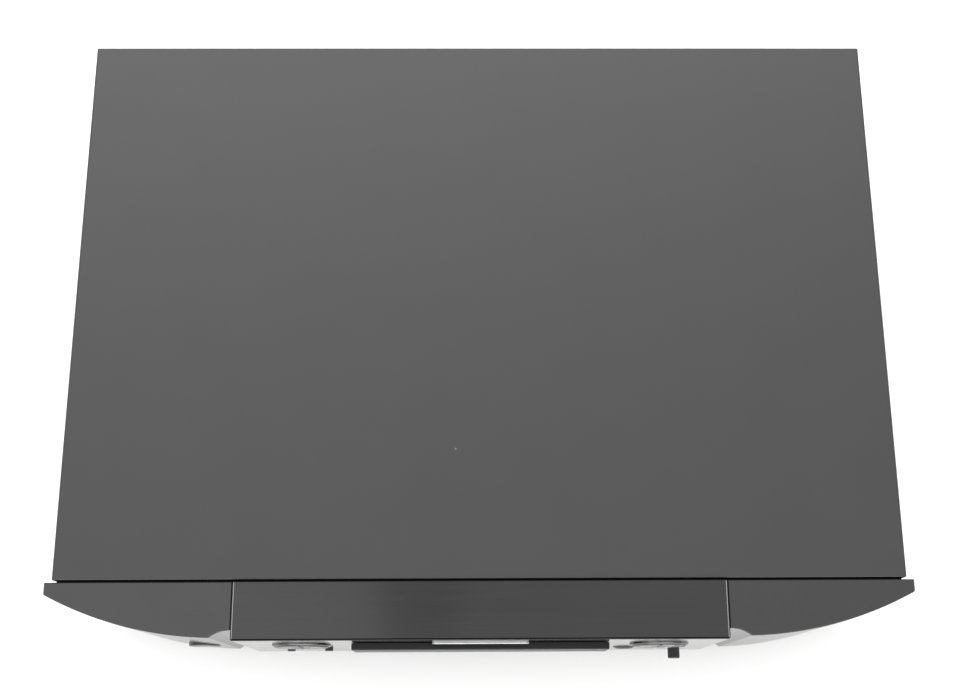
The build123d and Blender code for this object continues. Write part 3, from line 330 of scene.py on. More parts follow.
def hairline(name, dark, light, roughness, length=400.0, **settings):
    """Brushed metal with hairlines along X."""
    panel = Finish(name, metallic=1.0, Anisotropic=0.5, **settings)
    fine = panel.noise(0.00016, 4.0, stretch=(length, 1, 1), roughness=0.6)
    broad = panel.noise(0.0011, 2.0, stretch=(length / 4, 1, 1))
    tone = panel.mixed(panel.between(fine, 0, 1, 0.25, 0.75), dark, light)
    panel.colour(panel.mixed(panel.between(broad, 0, 0.4), tone, dark))
    panel.roughness(panel.between(fine, roughness - 0.05, roughness + 0.07))
    panel.raised(fine, 0.000012)
    return panel.material


finishes["panel_black"] = hairline(
    "panel_black", (0.022, 0.022, 0.023), (0.034, 0.033, 0.033), 0.22, Coat_Weight=0.55, Coat_Roughness=0.1
)
finishes["smoked_metal"] = hairline("smoked_metal", (0.11, 0.11, 0.112), (0.16, 0.158, 0.155), 0.2, length=12.0)
finishes["satin_metal"] = hairline("satin_metal", (0.30, 0.30, 0.30), (0.42, 0.42, 0.415), 0.26, length=30.0)
# near-black metal; on the front bracket and on the film along the cap's front edge it is painted shade
finishes["cut_edge"] = hairline("cut_edge", (0.004, 0.004, 0.004), (0.007, 0.007, 0.007), 0.55, length=40.0)
print(sorted(finishes))

# %% [markdown]
# ## Moulded plastics and rubber
# Plastic parts take their grain from the mould. The wings are smooth and semi-gloss, with a faint orange-peel. Inner
# parts have a spark-eroded grain. All are one function with other tones, grain sizes and reliefs.

# %% Moulded parts


def moulded(name, dark, light, grain, roughness, relief, dusty=False, **settings):
    """Plastic with a mould grain: two tones, grain size in metres, roughness and relief in metres."""
    plastic = Finish(name, **settings)
    pattern = plastic.noise(grain, 3.0)
    cloud = plastic.noise(grain * 60, 2.0)
    tone = plastic.mixed(plastic.between(pattern, 0, 1), dark, light)
    tone = plastic.mixed(plastic.between(cloud, 0, 0.5), tone, light)
    plastic.colour(plastic.dusted(tone) if dusty else tone)
    plastic.roughness(plastic.between(pattern, roughness - 0.04, roughness + 0.06))
    plastic.raised(pattern, relief)
    return plastic.material


finishes["wing_black"] = moulded(
    "wing_black",
    (0.009, 0.009, 0.0093),
    (0.016, 0.016, 0.0163),
    0.00028,
    0.22,
    0.000006,
    dusty=True,
    Coat_Weight=0.25,
    Specular_IOR_Level=0.42,
)
finishes["black_plastic"] = moulded(
    "black_plastic", (0.012, 0.012, 0.012), (0.022, 0.022, 0.022), 0.0003, 0.5, 0.00002
)
finishes["button_black"] = moulded("button_black", (0.018, 0.018, 0.019), (0.03, 0.03, 0.031), 0.0002, 0.3, 0.000004)
finishes["door_black"] = moulded(
    "door_black", (0.007, 0.007, 0.007), (0.013, 0.013, 0.013), 0.0002, 0.34, 0.000003, Specular_IOR_Level=0.25
)
finishes["grey_plastic"] = moulded("grey_plastic", (0.22, 0.22, 0.23), (0.3, 0.3, 0.31), 0.0004, 0.45, 0.00002)
finishes["white_plastic"] = moulded("white_plastic", (0.66, 0.65, 0.6), (0.78, 0.77, 0.72), 0.0005, 0.4, 0.00001)
finishes["rubber"] = moulded("rubber", (0.011, 0.011, 0.011), (0.022, 0.021, 0.02), 0.0006, 0.82, 0.00004)
finishes["sleeve_black"] = moulded("sleeve_black", (0.014, 0.015, 0.02), (0.03, 0.032, 0.04), 0.0012, 0.25, 0.00001)
finishes["print_white"] = moulded("print_white", (0.56, 0.56, 0.55), (0.68, 0.68, 0.66), 0.0002, 0.5, 0.000002)
finishes["print_grey"] = moulded("print_grey", (0.10, 0.125, 0.12), (0.14, 0.17, 0.16), 0.0002, 0.5, 0.000002)
finishes["ring_red"] = moulded("ring_red", (0.42, 0.012, 0.012), (0.52, 0.022, 0.018), 0.0003, 0.35, 0.000004)
finishes["ring_white"] = moulded("ring_white", (0.62, 0.62, 0.60), (0.72, 0.72, 0.70), 0.0003, 0.35, 0.000004)
finishes["ring_orange"] = moulded("ring_orange", (0.62, 0.17, 0.012), (0.72, 0.23, 0.022), 0.0003, 0.35, 0.000004)
finishes["cable_white"] = moulded("cable_white", (0.62, 0.62, 0.6), (0.74, 0.74, 0.72), 0.0008, 0.35, 0.000008)
print(sorted(finishes))

# %% [markdown]
# ## Bare and plated metal
# Zinc-plated sheet has large soft spangles and fine rolling lines. Bright trim, plated screws and gold contacts are
# smoother, with faint wiping marks, so they are one function with other tones.

# %% Metals


def plated(name, dark, light, roughness, spangle=0.004):
    """Plated metal: soft cells of slightly different tone, and fine wiping marks along X."""
    metal = Finish(name, metallic=1.0)
    cells = metal.cells(spangle, output="Color")
    wipes = metal.noise(0.0003, 3.0, stretch=(40, 1, 1))
    grey = metal.node("ShaderNodeRGBToBW")
    metal.link(cells, grey.inputs[0])
    tone = metal.mixed(metal.between(grey.outputs[0], 0, 1, 0.1, 0.9), dark, light)
    metal.colour(metal.mixed(metal.between(wipes, 0, 0.5), tone, light))
    metal.roughness(metal.between(wipes, roughness - 0.05, roughness + 0.08))
    metal.raised(wipes, 0.000004)
    return metal.material


finishes["zinc_steel"] = plated("zinc_steel", (0.50, 0.50, 0.48), (0.66, 0.66, 0.64), 0.32)
finishes["bright_metal"] = plated("bright_metal", (0.70, 0.70, 0.71), (0.82, 0.82, 0.83), 0.16, 0.02)
finishes["chrome"] = plated("chrome", (0.55, 0.55, 0.56), (0.66, 0.66, 0.67), 0.12, 0.02)
finishes["brass"] = plated("brass", (0.80, 0.58, 0.22), (0.92, 0.70, 0.32), 0.16, 0.02)
finishes["copper"] = plated("copper", (0.62, 0.25, 0.09), (0.78, 0.36, 0.15), 0.22, 0.01)
print(sorted(finishes))

# %% [markdown]
# ## Glass and clear parts
# The display window is smoked acrylic: dark, glossy, and only a little see-through. The display behind it is a glass
# tube with a dark inside. The pick-up's lens has the violet and green cast of its coating.

# %% Clear parts


def clear(name, dark, light, alpha, roughness, streak=0.02, **settings):
    """A clear or smoked part, with faint smears that change its gloss."""
    glass = Finish(name, Alpha=alpha, **settings)
    smear = glass.noise(streak, 3.0, stretch=(3, 1, 1))
    glass.colour(glass.mixed(glass.between(smear, 0, 1), dark, light))
    glass.roughness(glass.between(smear, roughness, roughness + 0.05))
    glass.raised(glass.noise(0.004, 1.0), 0.000001)
    return glass.material


finishes["smoked_window"] = clear("smoked_window", (0.006, 0.006, 0.007), (0.011, 0.011, 0.012), 0.72, 0.04)
finishes["display_glass"] = clear("display_glass", (0.012, 0.018, 0.018), (0.02, 0.03, 0.03), 1.0, 0.06)
finishes["lens_glass"] = clear(
    "lens_glass", (0.20, 0.28, 0.55), (0.42, 0.30, 0.62), 0.6, 0.03, 0.002, Coat_Weight=1.0
)
print(sorted(finishes))

# %% [markdown]
# ## Circuit boards and windings
# A board is glass fibre under green solder resist. Its copper tracks show as slightly raised, lighter lines, which
# the edges of a regular cell pattern give. The transformer is wound with amber tape, each turn lapping the last, so
# its bands turn around the middle of the ring.

# %% Board and tape
TAPE_LAPS = 46.0


def board_green():
    """Solder resist over tracks, with tinned pads."""
    board = Finish("board_green", Coat_Weight=0.4, Coat_Roughness=0.1)
    bricks = board.node("ShaderNodeTexBrick", offset=0.37, squash=1.4)
    tracks = {"Scale": 1.0, "Brick Width": 0.019, "Row Height": 0.0062, "Mortar Size": 0.00045, "Mortar Smooth": 0.2}
    for socket, value in tracks.items():
        bricks.inputs[socket].default_value = value
    board.link(board.place, bricks.inputs["Vector"])
    track = bricks.outputs["Fac"]
    weave = board.noise(0.0006, 2.0)
    resist = board.mixed(board.between(weave, 0, 1), (0.010, 0.085, 0.030), (0.016, 0.115, 0.042))
    with_tracks = board.mixed(track, resist, (0.045, 0.21, 0.085))
    pads = board.compare(board.cells(0.0075, randomness=0.6), 0.09)
    board.colour(board.mixed(pads, with_tracks, (0.62, 0.60, 0.56)))
    board.roughness(board.between(weave, 0.24, 0.36))
    board.raised(track, 0.00004)
    return board.material


def tape_amber():
    """Amber tape in laps round the middle of the transformer."""
    tape = Finish("tape_amber", Coat_Weight=0.5, Coat_Roughness=0.12)
    centre = middle("power_transformer")
    about = tape.node("ShaderNodeMapping", vector_type="POINT")
    about.inputs["Location"].default_value = (-centre.x, -centre.y, 0)
    tape.link(tape.place, about.inputs["Vector"])
    turns = tape.node("ShaderNodeTexGradient", gradient_type="RADIAL")
    tape.link(about.outputs["Vector"], turns.inputs["Vector"])
    laps = tape.node("ShaderNodeMath", operation="FRACT")
    tape.link(tape.times(turns.outputs["Fac"], TAPE_LAPS), laps.inputs[0])
    wrinkle = tape.noise(0.003, 3.0)
    amber = tape.mixed(tape.between(wrinkle, 0, 1), (0.33, 0.17, 0.028), (0.48, 0.27, 0.055))
    tape.colour(tape.mixed(tape.between(laps.outputs[0], 0, 0.6, 0.0, 1.0), amber, (0.20, 0.095, 0.015)))
    tape.roughness(tape.between(wrinkle, 0.2, 0.36))
    tape.raised(laps.outputs[0], 0.00012)
    tape.raised(wrinkle, 0.00005)
    return tape.material


finishes["board_green"] = board_green()
finishes["tape_amber"] = tape_amber()
print(sorted(finishes))

# %% [markdown]
# ## Dressing the solids
# Each solid takes the finish that its slot names. A few need another one: the tray door is darker than the panel, and
# the bracket behind the front takes a near-black metal as painted shade, so that the gap between cover and panel
# reads as a dark line.

# %% Finishes on the solids
own_finish = {
    "tray_door": "door_black",
    "control_rings": "smoked_metal",
    "badge_bar": "satin_metal",
    "usb_socket": "satin_metal",
    # painted shade: the bracket is made near black to stand in for the shade in the gap
    "front_bracket": "cut_edge",
}
for node, part in frame["nodes"].items():
    part.data.materials.clear()
    part.data.materials.append(finishes[own_finish.get(node, slot_of[node])])
print("dressed", len(frame["nodes"]), "solids")

# %% [markdown]
# ## From a recipe to a piece
# The fine pieces are drawn in millimetres, on the face that carries them: across it, up it, and out of it. One small
# function for each face turns those three numbers into a place on the player. A piece is then a mesh with one finish,
# which rides on the body that carries it.

# %% Helpers for pieces


def on_front(x, y, z):
    """A face that looks towards -Y: across is +X, up is +Z."""
    return lambda across, up, out: (x + across * MM, y - out * MM, z + up * MM)


def on_rear(x, y, z):
    """A face that looks towards +Y."""
    return lambda across, up, out: (x + across * MM, y + out * MM, z + up * MM)


def on_top(x, y, z):
    """A face that looks up."""
    return lambda across, up, out: (x + across * MM, y + up * MM, z + out * MM)


def on_base(x, y, z):
    """A face that looks down."""
    return lambda across, up, out: (x + across * MM, y + up * MM, z - out * MM)


def mesh_of(recipe):
    """Runs a bmesh recipe. Doubles are merged and the faces turned outwards."""
    working = bmesh.new()
    recipe(working)
    bmesh.ops.remove_doubles(working, verts=working.verts, dist=1e-7)
    bmesh.ops.recalc_face_normals(working, faces=working.faces)
    mesh = bpy.data.meshes.new("shape")
    working.to_mesh(mesh)
    working.free()
    return mesh


def piece(name, mesh, finish, body="chassis", smooth=30):
    """A finished piece of the player; edges flatter than `smooth` degrees are shaded round."""
    mesh.name = name
    mesh.materials.clear()
    mesh.materials.append(finishes[finish])
    mesh.polygons.foreach_set("material_index", [0] * len(mesh.polygons))
    mesh.polygons.foreach_set("use_smooth", [True] * len(mesh.polygons))
    mesh.set_sharp_from_angle(angle=radians(smooth))
    made = bpy.data.objects.new(name, mesh)
    bpy.context.scene.collection.objects.link(made)
    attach(made, body)
    return made


def plate(working, outline, place, low=-0.01, high=0.03):
    """A thin plate with this outline, standing from low to high out of its face."""
    under = [working.verts.new(place(across, up, low)) for across, up in outline]
    over = [working.verts.new(place(across, up, high)) for across, up in outline]
    working.faces.new(over)
    working.faces.new(under[::-1])
    for index, vert in enumerate(under):
        after = (index + 1) % len(under)
        working.faces.new((vert, under[after], over[after], over[index]))


def round_loop(radius, steps=32):
    """Points round a circle, each with its outward direction."""
    turns = [2 * pi * step / steps for step in range(steps)]
    return [((radius * cos(turn), radius * sin(turn)), (cos(turn), sin(turn))) for turn in turns]


def soft_loop(width, height, radius, steps=4):
    """Points round a rectangle with round corners, each with its outward direction."""
    loop = []
    for corner, (side, level) in enumerate(((1, 1), (-1, 1), (-1, -1), (1, -1))):
        centre = (side * (width / 2 - radius), level * (height / 2 - radius))
        for step in range(steps + 1):
            turn = pi / 2 * (corner + step / steps)
            out = (cos(turn), sin(turn))
            loop.append(((centre[0] + radius * out[0], centre[1] + radius * out[1]), out))
    return loop


def swept(working, loop, profile, place):
    """A closed strip: the profile, given as (outwards, out of the face), follows the loop."""
    rings = []
    for (across, up), (right, upward) in loop:
        corners = [place(across + right * away, up + upward * away, out) for away, out in profile]
        rings.append([working.verts.new(corner) for corner in corners])
    for ring, after in zip(rings, rings[1:] + rings[:1]):
        for index in range(len(profile)):
            follow = (index + 1) % len(profile)
            working.faces.new((ring[index], after[index], after[follow], ring[follow]))


print("faces to draw on: front, rear, top, base")

# %% [markdown]
# ## Symbols on the push buttons
# Each push button carries a printed transport symbol. Ink is about three hundredths of a millimetre thick, so each
# symbol is a plate of that thickness on the cap. A symbol could also be painted by a material, but a plate keeps its
# edge sharp from close up and moves with its button.

# %% Transport symbols
rings_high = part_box("control_rings")[1]
cluster_x = rings_high.x - 15.3 * MM
cluster_z = middle("control_rings").z
cap_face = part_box("play_button")[0].y

arrow_one = [(-2.0, -1.5), (0.0, 0.0), (-2.0, 1.5)]
arrow_two = [(0.1, -1.5), (2.1, 0.0), (0.1, 1.5)]
stop_line = [(2.2, -1.5), (2.75, -1.5), (2.75, 1.5), (2.2, 1.5)]
skip = [arrow_one, arrow_two, stop_line]
pause_lines = [[(left, -1.5), (left + 0.65, -1.5), (left + 0.65, 1.5), (left, 1.5)] for left in (0.9, 2.1)]
play = [[(-2.6, -1.7), (0.2, 0.0), (-2.6, 1.7)], *pause_lines]
stop = [[(-1.5, -1.5), (1.5, -1.5), (1.5, 1.5), (-1.5, 1.5)]]
eject = [[(-1.9, -0.3), (1.9, -0.3), (0.0, 1.8)], [(-1.9, -1.5), (1.9, -1.5), (1.9, -0.85), (-1.9, -0.85)]]
symbols = {
    "back_button": (-cluster_x, -7.0, 0.0, [[(-across, up) for across, up in part] for part in skip]),
    "forward_button": (-cluster_x, 7.0, 0.0, skip),
    "play_button": (cluster_x, -7.0, 0.0, play),
    "stop_button": (cluster_x, 5.6, -5.6, stop),
    "open_button": (cluster_x, 5.6, 5.6, eject),
}
for button, (x, across, up, outlines) in symbols.items():
    face = on_front(x + across * MM, cap_face, cluster_z + up * MM)

    def draw(working, outlines=outlines, face=face):
        for outline in outlines:
            plate(working, outline, face)

    piece(f"symbol_{button}", mesh_of(draw), "print_white", button)
print("symbols", len(symbols))

# %% [markdown]
# ## Power symbol and knob line
# The power sign is a ring that is open at the top, with a stroke in the gap, printed on the power button like the
# other symbols. The level knob has a moulded groove filled with white paint, so its line lies under the knob's face.

# %% Power symbol and knob line
POWER_GAP = radians(38)  # half of the opening at the top of the power sign
power = middle("power_button")
power_face = on_front(power.x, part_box("power_button")[0].y, power.z)
knob = middle("level_knob")
knob_face = on_front(knob.x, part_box("level_knob")[0].y, knob.z)


def power_sign(working):
    turns = [pi / 2 + POWER_GAP + (2 * pi - 2 * POWER_GAP) * step / 24 for step in range(25)]
    for turn, after in zip(turns, turns[1:]):
        corners = [(2.7, turn), (2.7, after), (2.2, after), (2.2, turn)]
        plate(working, [(reach * cos(angle), reach * sin(angle)) for reach, angle in corners], power_face)
    plate(working, [(-0.25, 0.4), (0.25, 0.4), (0.25, 3.1), (-0.25, 3.1)], power_face)


def knob_line(working):
    plate(working, [(-0.23, 0.82), (0.23, 0.82), (0.23, 2.9), (-0.23, 2.9)], knob_face, -0.42, -0.12)


piece("symbol_power", mesh_of(power_sign), "print_white", "power_button")
piece("knob_line", mesh_of(knob_line), "print_white", "level_knob")
print("power sign at", tuple(round(value, 4) for value in power))

# %% [markdown]
# ## Trims of the front
# Along the brushed cap's front edge lies a narrow near-black film, which is painted shade for the dark line along
# that edge. At its two ends, thin bright films are painted highlights for the light that the side edges catch. Both
# are films a few thousandths of a millimetre high. The USB socket has a raised frame, and the headphone socket a
# round nut. Each is a profile swept along a closed loop, which is the quickest way to a bevelled frame without a
# boolean.

# %% Cut edge, socket frame and nut
usb = middle("usb_socket")
usb_face = on_front(usb.x, fascia_front, usb.z)
jack = middle("headphone_jack")
jack_face = on_front(jack.x, fascia_front, usb.z)
cap_half = (fascia_high.x - 0.6 * MM) / MM
LINE, FILM = 0.6, 0.004  # width of the painted shade line on the cap and its height, in mm
EDGE = 0.36  # chamfer of the cap's edges, in mm


def strip(working, left, right, near, far):
    """A film on the cap's top, from left to right and from its front edge rearwards."""
    corners = [(left, near), (right, near), (right, far), (left, far)]
    plate(working, corners, on_top(0, fascia_front, fascia_high.z), -0.02, FILM)


# painted shade: a near-black film along the cap's front edge, standing in for the dark line that the edge shows
def cut_edge(working):
    strip(working, -cap_half, cap_half, EDGE, EDGE + LINE)


# painted highlights: thin bright films at the cap's two ends, standing in for the light that their edges catch
def painted_highlight_ends(working):
    depth = (fascia_high.y - fascia_front) / MM
    strip(working, -cap_half, -cap_half + 0.22, EDGE + LINE, depth - EDGE)
    strip(working, cap_half - 0.3, cap_half, EDGE + LINE, depth - EDGE)


def usb_frame(working):
    profile = [(-0.45, -0.15), (0.4, -0.15), (0.4, 0.2), (0.22, 0.35), (-0.25, 0.35), (-0.45, 0.15)]
    swept(working, soft_loop(14.7, 7.0, 0.9), profile, usb_face)


def jack_nut(working):
    profile = [(-0.55, -0.1), (0.5, -0.1), (0.5, 0.25), (0.3, 0.45), (-0.35, 0.45), (-0.55, 0.3)]
    swept(working, round_loop(5.45, 48), profile, jack_face)


piece("cap_cut_edge", mesh_of(cut_edge), "cut_edge")
piece("cap_polished_ends", mesh_of(painted_highlight_ends), "satin_metal")
piece("usb_frame", mesh_of(usb_frame), "satin_metal")
piece("jack_nut", mesh_of(jack_nut), "smoked_metal")
print("cap width", round(2 * cap_half, 1), "mm")

# %% [markdown]
# ## Trees for things that repeat
# Slots, segments, ribs and small parts repeat in rows or rings. Two small Geometry Nodes trees lay any shape out: one
# in rows and columns, one round a circle with each copy turned outwards. A third scatters a shape over a face with a
# fixed seed. `laid_out` runs a tree once and gives back a plain mesh.

# %% Geometry Nodes trees
SOCKETS = {"Shape": "NodeSocketObject", "Finish": "NodeSocketMaterial"}


def empty_tree(name, numbers):
    """A tree with a shape, a finish and named numbers as inputs."""
    tree = bpy.data.node_groups.new(name, "GeometryNodeTree")
    tree.interface.new_socket("Geometry", in_out="INPUT", socket_type="NodeSocketGeometry")
    for label, kind in {**SOCKETS, **numbers}.items():
        tree.interface.new_socket(label, in_out="INPUT", socket_type=kind)
    tree.interface.new_socket("Geometry", in_out="OUTPUT", socket_type="NodeSocketGeometry")
    given = tree.nodes.new("NodeGroupInput")
    shape = tree.nodes.new("GeometryNodeObjectInfo")
    tree.links.new(given.outputs["Shape"], shape.inputs["Object"])
    return tree, given, shape


def copies(tree, points, instance, rotation=None):
    """Puts a shape on each point, turned if a rotation is given."""
    placed = tree.nodes.new("GeometryNodeInstanceOnPoints")
    tree.links.new(points, placed.inputs["Points"])
    tree.links.new(instance, placed.inputs["Instance"])
    if rotation is not None:
        tree.links.new(rotation, placed.inputs["Rotation"])
    return placed.outputs["Instances"]


def ending(tree, given, instances):
    """Makes the copies real and gives them their finish."""
    real = tree.nodes.new("GeometryNodeRealizeInstances")
    finish = tree.nodes.new("GeometryNodeSetMaterial")
    result = tree.nodes.new("NodeGroupOutput")
    tree.links.new(instances, real.inputs["Geometry"])
    tree.links.new(real.outputs["Geometry"], finish.inputs["Geometry"])
    tree.links.new(given.outputs["Finish"], finish.inputs["Material"])
    tree.links.new(finish.outputs["Geometry"], result.inputs["Geometry"])
    return tree


def rows_tree():
    whole, vector = "NodeSocketInt", "NodeSocketVector"
    numbers = {"Count": whole, "Step": vector, "Rows": whole, "Row Step": vector}
    tree, given, shape = empty_tree("rows_of_shapes", numbers)
    instance = shape.outputs["Geometry"]
    for count, step in (("Count", "Step"), ("Rows", "Row Step")):
        line = tree.nodes.new("GeometryNodeMeshLine")
        tree.links.new(given.outputs[count], line.inputs["Count"])
        tree.links.new(given.outputs[step], line.inputs["Offset"])
        instance = copies(tree, line.outputs["Mesh"], instance)
    return ending(tree, given, instance)


def ring_tree():
    tree, given, shape = empty_tree("ring_of_shapes", {"Count": "NodeSocketInt", "Radius": "NodeSocketFloat"})
    circle = tree.nodes.new("GeometryNodeMeshCircle")
    tree.links.new(given.outputs["Count"], circle.inputs["Vertices"])
    tree.links.new(given.outputs["Radius"], circle.inputs["Radius"])
    place = tree.nodes.new("GeometryNodeInputPosition")
    outward = tree.nodes.new("FunctionNodeAlignRotationToVector")
    outward.axis, outward.pivot_axis = "X", "Z"
    tree.links.new(place.outputs["Position"], outward.inputs["Vector"])
    turned = outward.outputs["Rotation"]
    return ending(tree, given, copies(tree, circle.outputs["Mesh"], shape.outputs["Geometry"], turned))


def scatter_tree():
    tree, given, shape = empty_tree("scattered_shapes", {"Density": "NodeSocketFloat", "Seed": "NodeSocketInt"})
    spread = tree.nodes.new("GeometryNodeDistributePointsOnFaces")
    spread.distribute_method = "RANDOM"
    tree.links.new(given.outputs["Geometry"], spread.inputs["Mesh"])
    tree.links.new(given.outputs["Density"], spread.inputs["Density"])
    tree.links.new(given.outputs["Seed"], spread.inputs["Seed"])
    return ending(tree, given, copies(tree, spread.outputs["Points"], shape.outputs["Geometry"]))


rows_of_shapes, ring_of_shapes, scattered_shapes = rows_tree(), ring_tree(), scatter_tree()


def laid_out(tree, shape_mesh, finish, numbers, base=None):
    """Runs a tree once on a shape and returns a plain mesh."""
    shape = bpy.data.objects.new("one_shape", shape_mesh)
    carrier = bpy.data.objects.new("carrier", base or bpy.data.meshes.new("nothing"))
    for helper in (shape, carrier):
        bpy.context.scene.collection.objects.link(helper)
    modifier = carrier.modifiers.new("pattern", "NODES")
    modifier.node_group = tree
    given = {"Shape": shape, "Finish": finishes[finish], **numbers}
    for socket in tree.interface.items_tree:
        if socket.item_type == "SOCKET" and socket.in_out == "INPUT" and socket.name in given:
            modifier[socket.identifier] = given[socket.name]
    graph = bpy.context.evaluated_depsgraph_get()
    mesh = bpy.data.meshes.new_from_object(carrier.evaluated_get(graph))
    carrier.modifiers.remove(modifier)
    for helper in (shape, carrier):
        bpy.data.objects.remove(helper)
    return mesh


def moved(mesh, place):
    """The mesh put in its place."""
    mesh.transform(Matrix.Translation(place))
    return mesh


print("trees", [tree.name for tree in bpy.data.node_groups])

# %% [markdown]
# ## The display behind the window
# A fluorescent display is a flat glass tube with its segments printed inside. Switched off, the segments show as
# faint grey shapes. The large digits are one seven-bar figure in a row, and the track calendar is a small frame in
# rows. The window's back has a black printed border that hides the tube's edges.

# %% Display segments and window border
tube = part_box("display_module")
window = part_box("display_window")
tube_face = tube[0].y
BAR, BAR_HALF = 2.9, 0.28  # length and half thickness of one segment, in mm
DIGITS, TRACKS = 6, 20


def digit(working):
    """One figure of seven bars: three level and four upright."""
    face = on_front(0, 0, 0)
    tip = BAR / 2 - BAR_HALF * 0.4
    flat = [(-tip, 0), (-tip + BAR_HALF, BAR_HALF), (tip - BAR_HALF, BAR_HALF)]
    flat += [(tip, 0), (tip - BAR_HALF, -BAR_HALF), (-tip + BAR_HALF, -BAR_HALF)]
    for up in (-BAR, 0, BAR):
        plate(working, [(across, up + rise) for across, rise in flat], face, 0, 0.03)
    for across in (-BAR / 2 - 0.1, BAR / 2 + 0.1):
        for up in (-BAR / 2, BAR / 2):
            plate(working, [(across + rise, up + along) for along, rise in flat], face, 0, 0.03)


def calendar_box(working):
    line = [(-0.12, 0), (0.12, 0), (0.12, 0.03), (-0.12, 0.03)]
    swept(working, soft_loop(2.5, 3.4, 0.3, 2), line, on_front(0, 0, 0))


def window_border(working):
    face = on_rear(0, window[1].y, middle("display_window").z)
    profile = [(0, 0.02), (3.6, 0.02), (3.6, 0.07), (0, 0.07)]
    swept(working, soft_loop(99, 22, 0.4, 2), profile, face)


display_z = (tube[0].z + tube[1].z) / 2
digits = {"Count": DIGITS, "Step": (7.6 * MM, 0, 0), "Rows": 1, "Row Step": (0, 0, 0)}
calendar = {"Count": TRACKS // 2, "Step": (3.5 * MM, 0, 0), "Rows": 2, "Row Step": (0, 0, -5.4 * MM)}
row = laid_out(rows_of_shapes, mesh_of(digit), "print_grey", digits)
piece("display_digits", moved(row, (-42 * MM, tube_face - 0.01 * MM, display_z)), "print_grey")
row = laid_out(rows_of_shapes, mesh_of(calendar_box), "print_grey", calendar)
piece("display_calendar", moved(row, (9 * MM, tube_face - 0.01 * MM, display_z + 2.7 * MM)), "print_grey")
piece("window_border", mesh_of(window_border), "black_plastic")
print("digits", DIGITS, "calendar boxes", TRACKS)

# %% [markdown]
# ## Vents
# The slots of the base and the rear are punched from inside, which leaves a small rounded lip round each one. One lip
# is a half-round profile swept round a slot, and the rows tree sets it at every slot.

# %% Lips of the vent slots
SLOT_WIDTH, BASE_SLOT, REAR_SLOT = 3.0, 32, 20  # width and lengths, in mm
BASE_STEP, BASE_ROW = 9, 40  # from slot to slot and from row to row
REAR_STEP, REAR_ROW = 7, 26


def slot_lip(length, face):
    """One lip round a slot of the usual width."""
    profile = [(0.02, -0.05), (0.5, -0.05), (0.42, 0.16), (0.22, 0.22), (0.02, 0.12)]

    def recipe(working):
        swept(working, soft_loop(SLOT_WIDTH, length, 1.45, 5), profile, face(0, 0, 0))

    return mesh_of(recipe)


base_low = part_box("base_pan")[0].z
base_grid = {"Count": 7, "Step": (BASE_STEP * MM, 0, 0), "Rows": 2, "Row Step": (0, BASE_ROW * MM, 0)}
rear_grid = {"Count": 12, "Step": (REAR_STEP * MM, 0, 0), "Rows": 2, "Row Step": (0, 0, REAR_ROW * MM)}
for name, x, y in (("left", -118, 40), ("right", 118, -20)):
    lips = laid_out(rows_of_shapes, slot_lip(BASE_SLOT, on_base), "zinc_steel", base_grid)
    first = ((x - 3 * BASE_STEP) * MM, (y - BASE_ROW / 2) * MM, base_low)
    piece(f"base_vent_lips_{name}", moved(lips, first), "zinc_steel")
lips = laid_out(rows_of_shapes, slot_lip(REAR_SLOT, on_rear), "case_paint", rear_grid)
first = ((-60 - 5.5 * REAR_STEP) * MM, rear_high.y, (60 - REAR_ROW / 2) * MM)
piece("rear_vent_lips", moved(lips, first), "case_paint")
print("base at", round(base_low, 4), "rear panel to", round(rear_high.y, 4))

# %% [markdown]
# ## Feet
# Each foot is a moulded drum with a bright trim ring pressed into its groove, fine upright ribs below it, and a small
# collar round the screw well underneath. The ring tree turns each rib outwards.

# %% Foot trims, ribs and collars


def rib(working):
    """One upright rib with a rounded front, pointing along +X."""
    half = [(-0.15, -0.42), (0.1, -0.42), (0.26, -0.2), (0.3, 0.0), (0.26, 0.2), (0.1, 0.42), (-0.15, 0.42)]
    plate(working, half, on_top(0, 0, 0), 0, 4.6)


def trim_ring(working, centre):
    profile = [(-0.75, -0.55), (-0.15, -0.72), (0.2, -0.4), (0.3, 0.0), (0.2, 0.4), (-0.15, 0.72), (-0.75, 0.55)]
    swept(working, round_loop(24.55, 64), profile, on_top(centre.x, centre.y, 9 * MM))


collar_ring = [(-0.5, -0.3), (0.5, -0.3), (0.5, 0.35), (0.25, 0.5), (-0.25, 0.5), (-0.5, 0.35)]
for corner in ("front_left", "front_right", "rear_left", "rear_right"):
    centre = middle(f"foot_{corner}")
    ribs = laid_out(ring_of_shapes, mesh_of(rib), "black_plastic", {"Count": 90, "Radius": 24.9 * MM})
    piece(f"foot_ribs_{corner}", moved(ribs, (centre.x, centre.y, 2.6 * MM)), "black_plastic")
    piece(f"foot_trim_{corner}", mesh_of(lambda working, at=centre: trim_ring(working, at)), "satin_metal")
    under = on_base(centre.x, centre.y, 1.2 * MM)
    rim = mesh_of(lambda working, face=under: swept(working, round_loop(9.6), collar_ring, face))
    piece(f"foot_collar_{corner}", rim, "black_plastic")
print("feet", 4)

# %% [markdown]
# ## The rear sockets
# Phono sockets are told apart by the colour of their collars: white and red for the two channels, orange for the
# digital one, black for the remote links. Inside each shell sits a contact tube in a white disc. Thin printed lines
# frame the groups, and the mains inlet has two plated contact pins.

# %% Collars, discs, frames and pins
sockets = {
    "left": (165, 76, "ring_white"),
    "right": (165, 50, "ring_red"),
    "digital": (120, 50, "ring_orange"),
    "remote_in": (80, 76, "sleeve_black"),
    "remote_out": (80, 50, "sleeve_black"),
}
panel_face = rear_high.y


def collar(working, x, z):
    profile = [(-0.42, 1.98), (0.5, 1.98), (0.6, 2.2), (0.45, 2.55), (-0.3, 2.6), (-0.42, 2.45)]
    swept(working, round_loop(4.6, 40), profile, on_rear(x * MM, panel_face, z * MM))


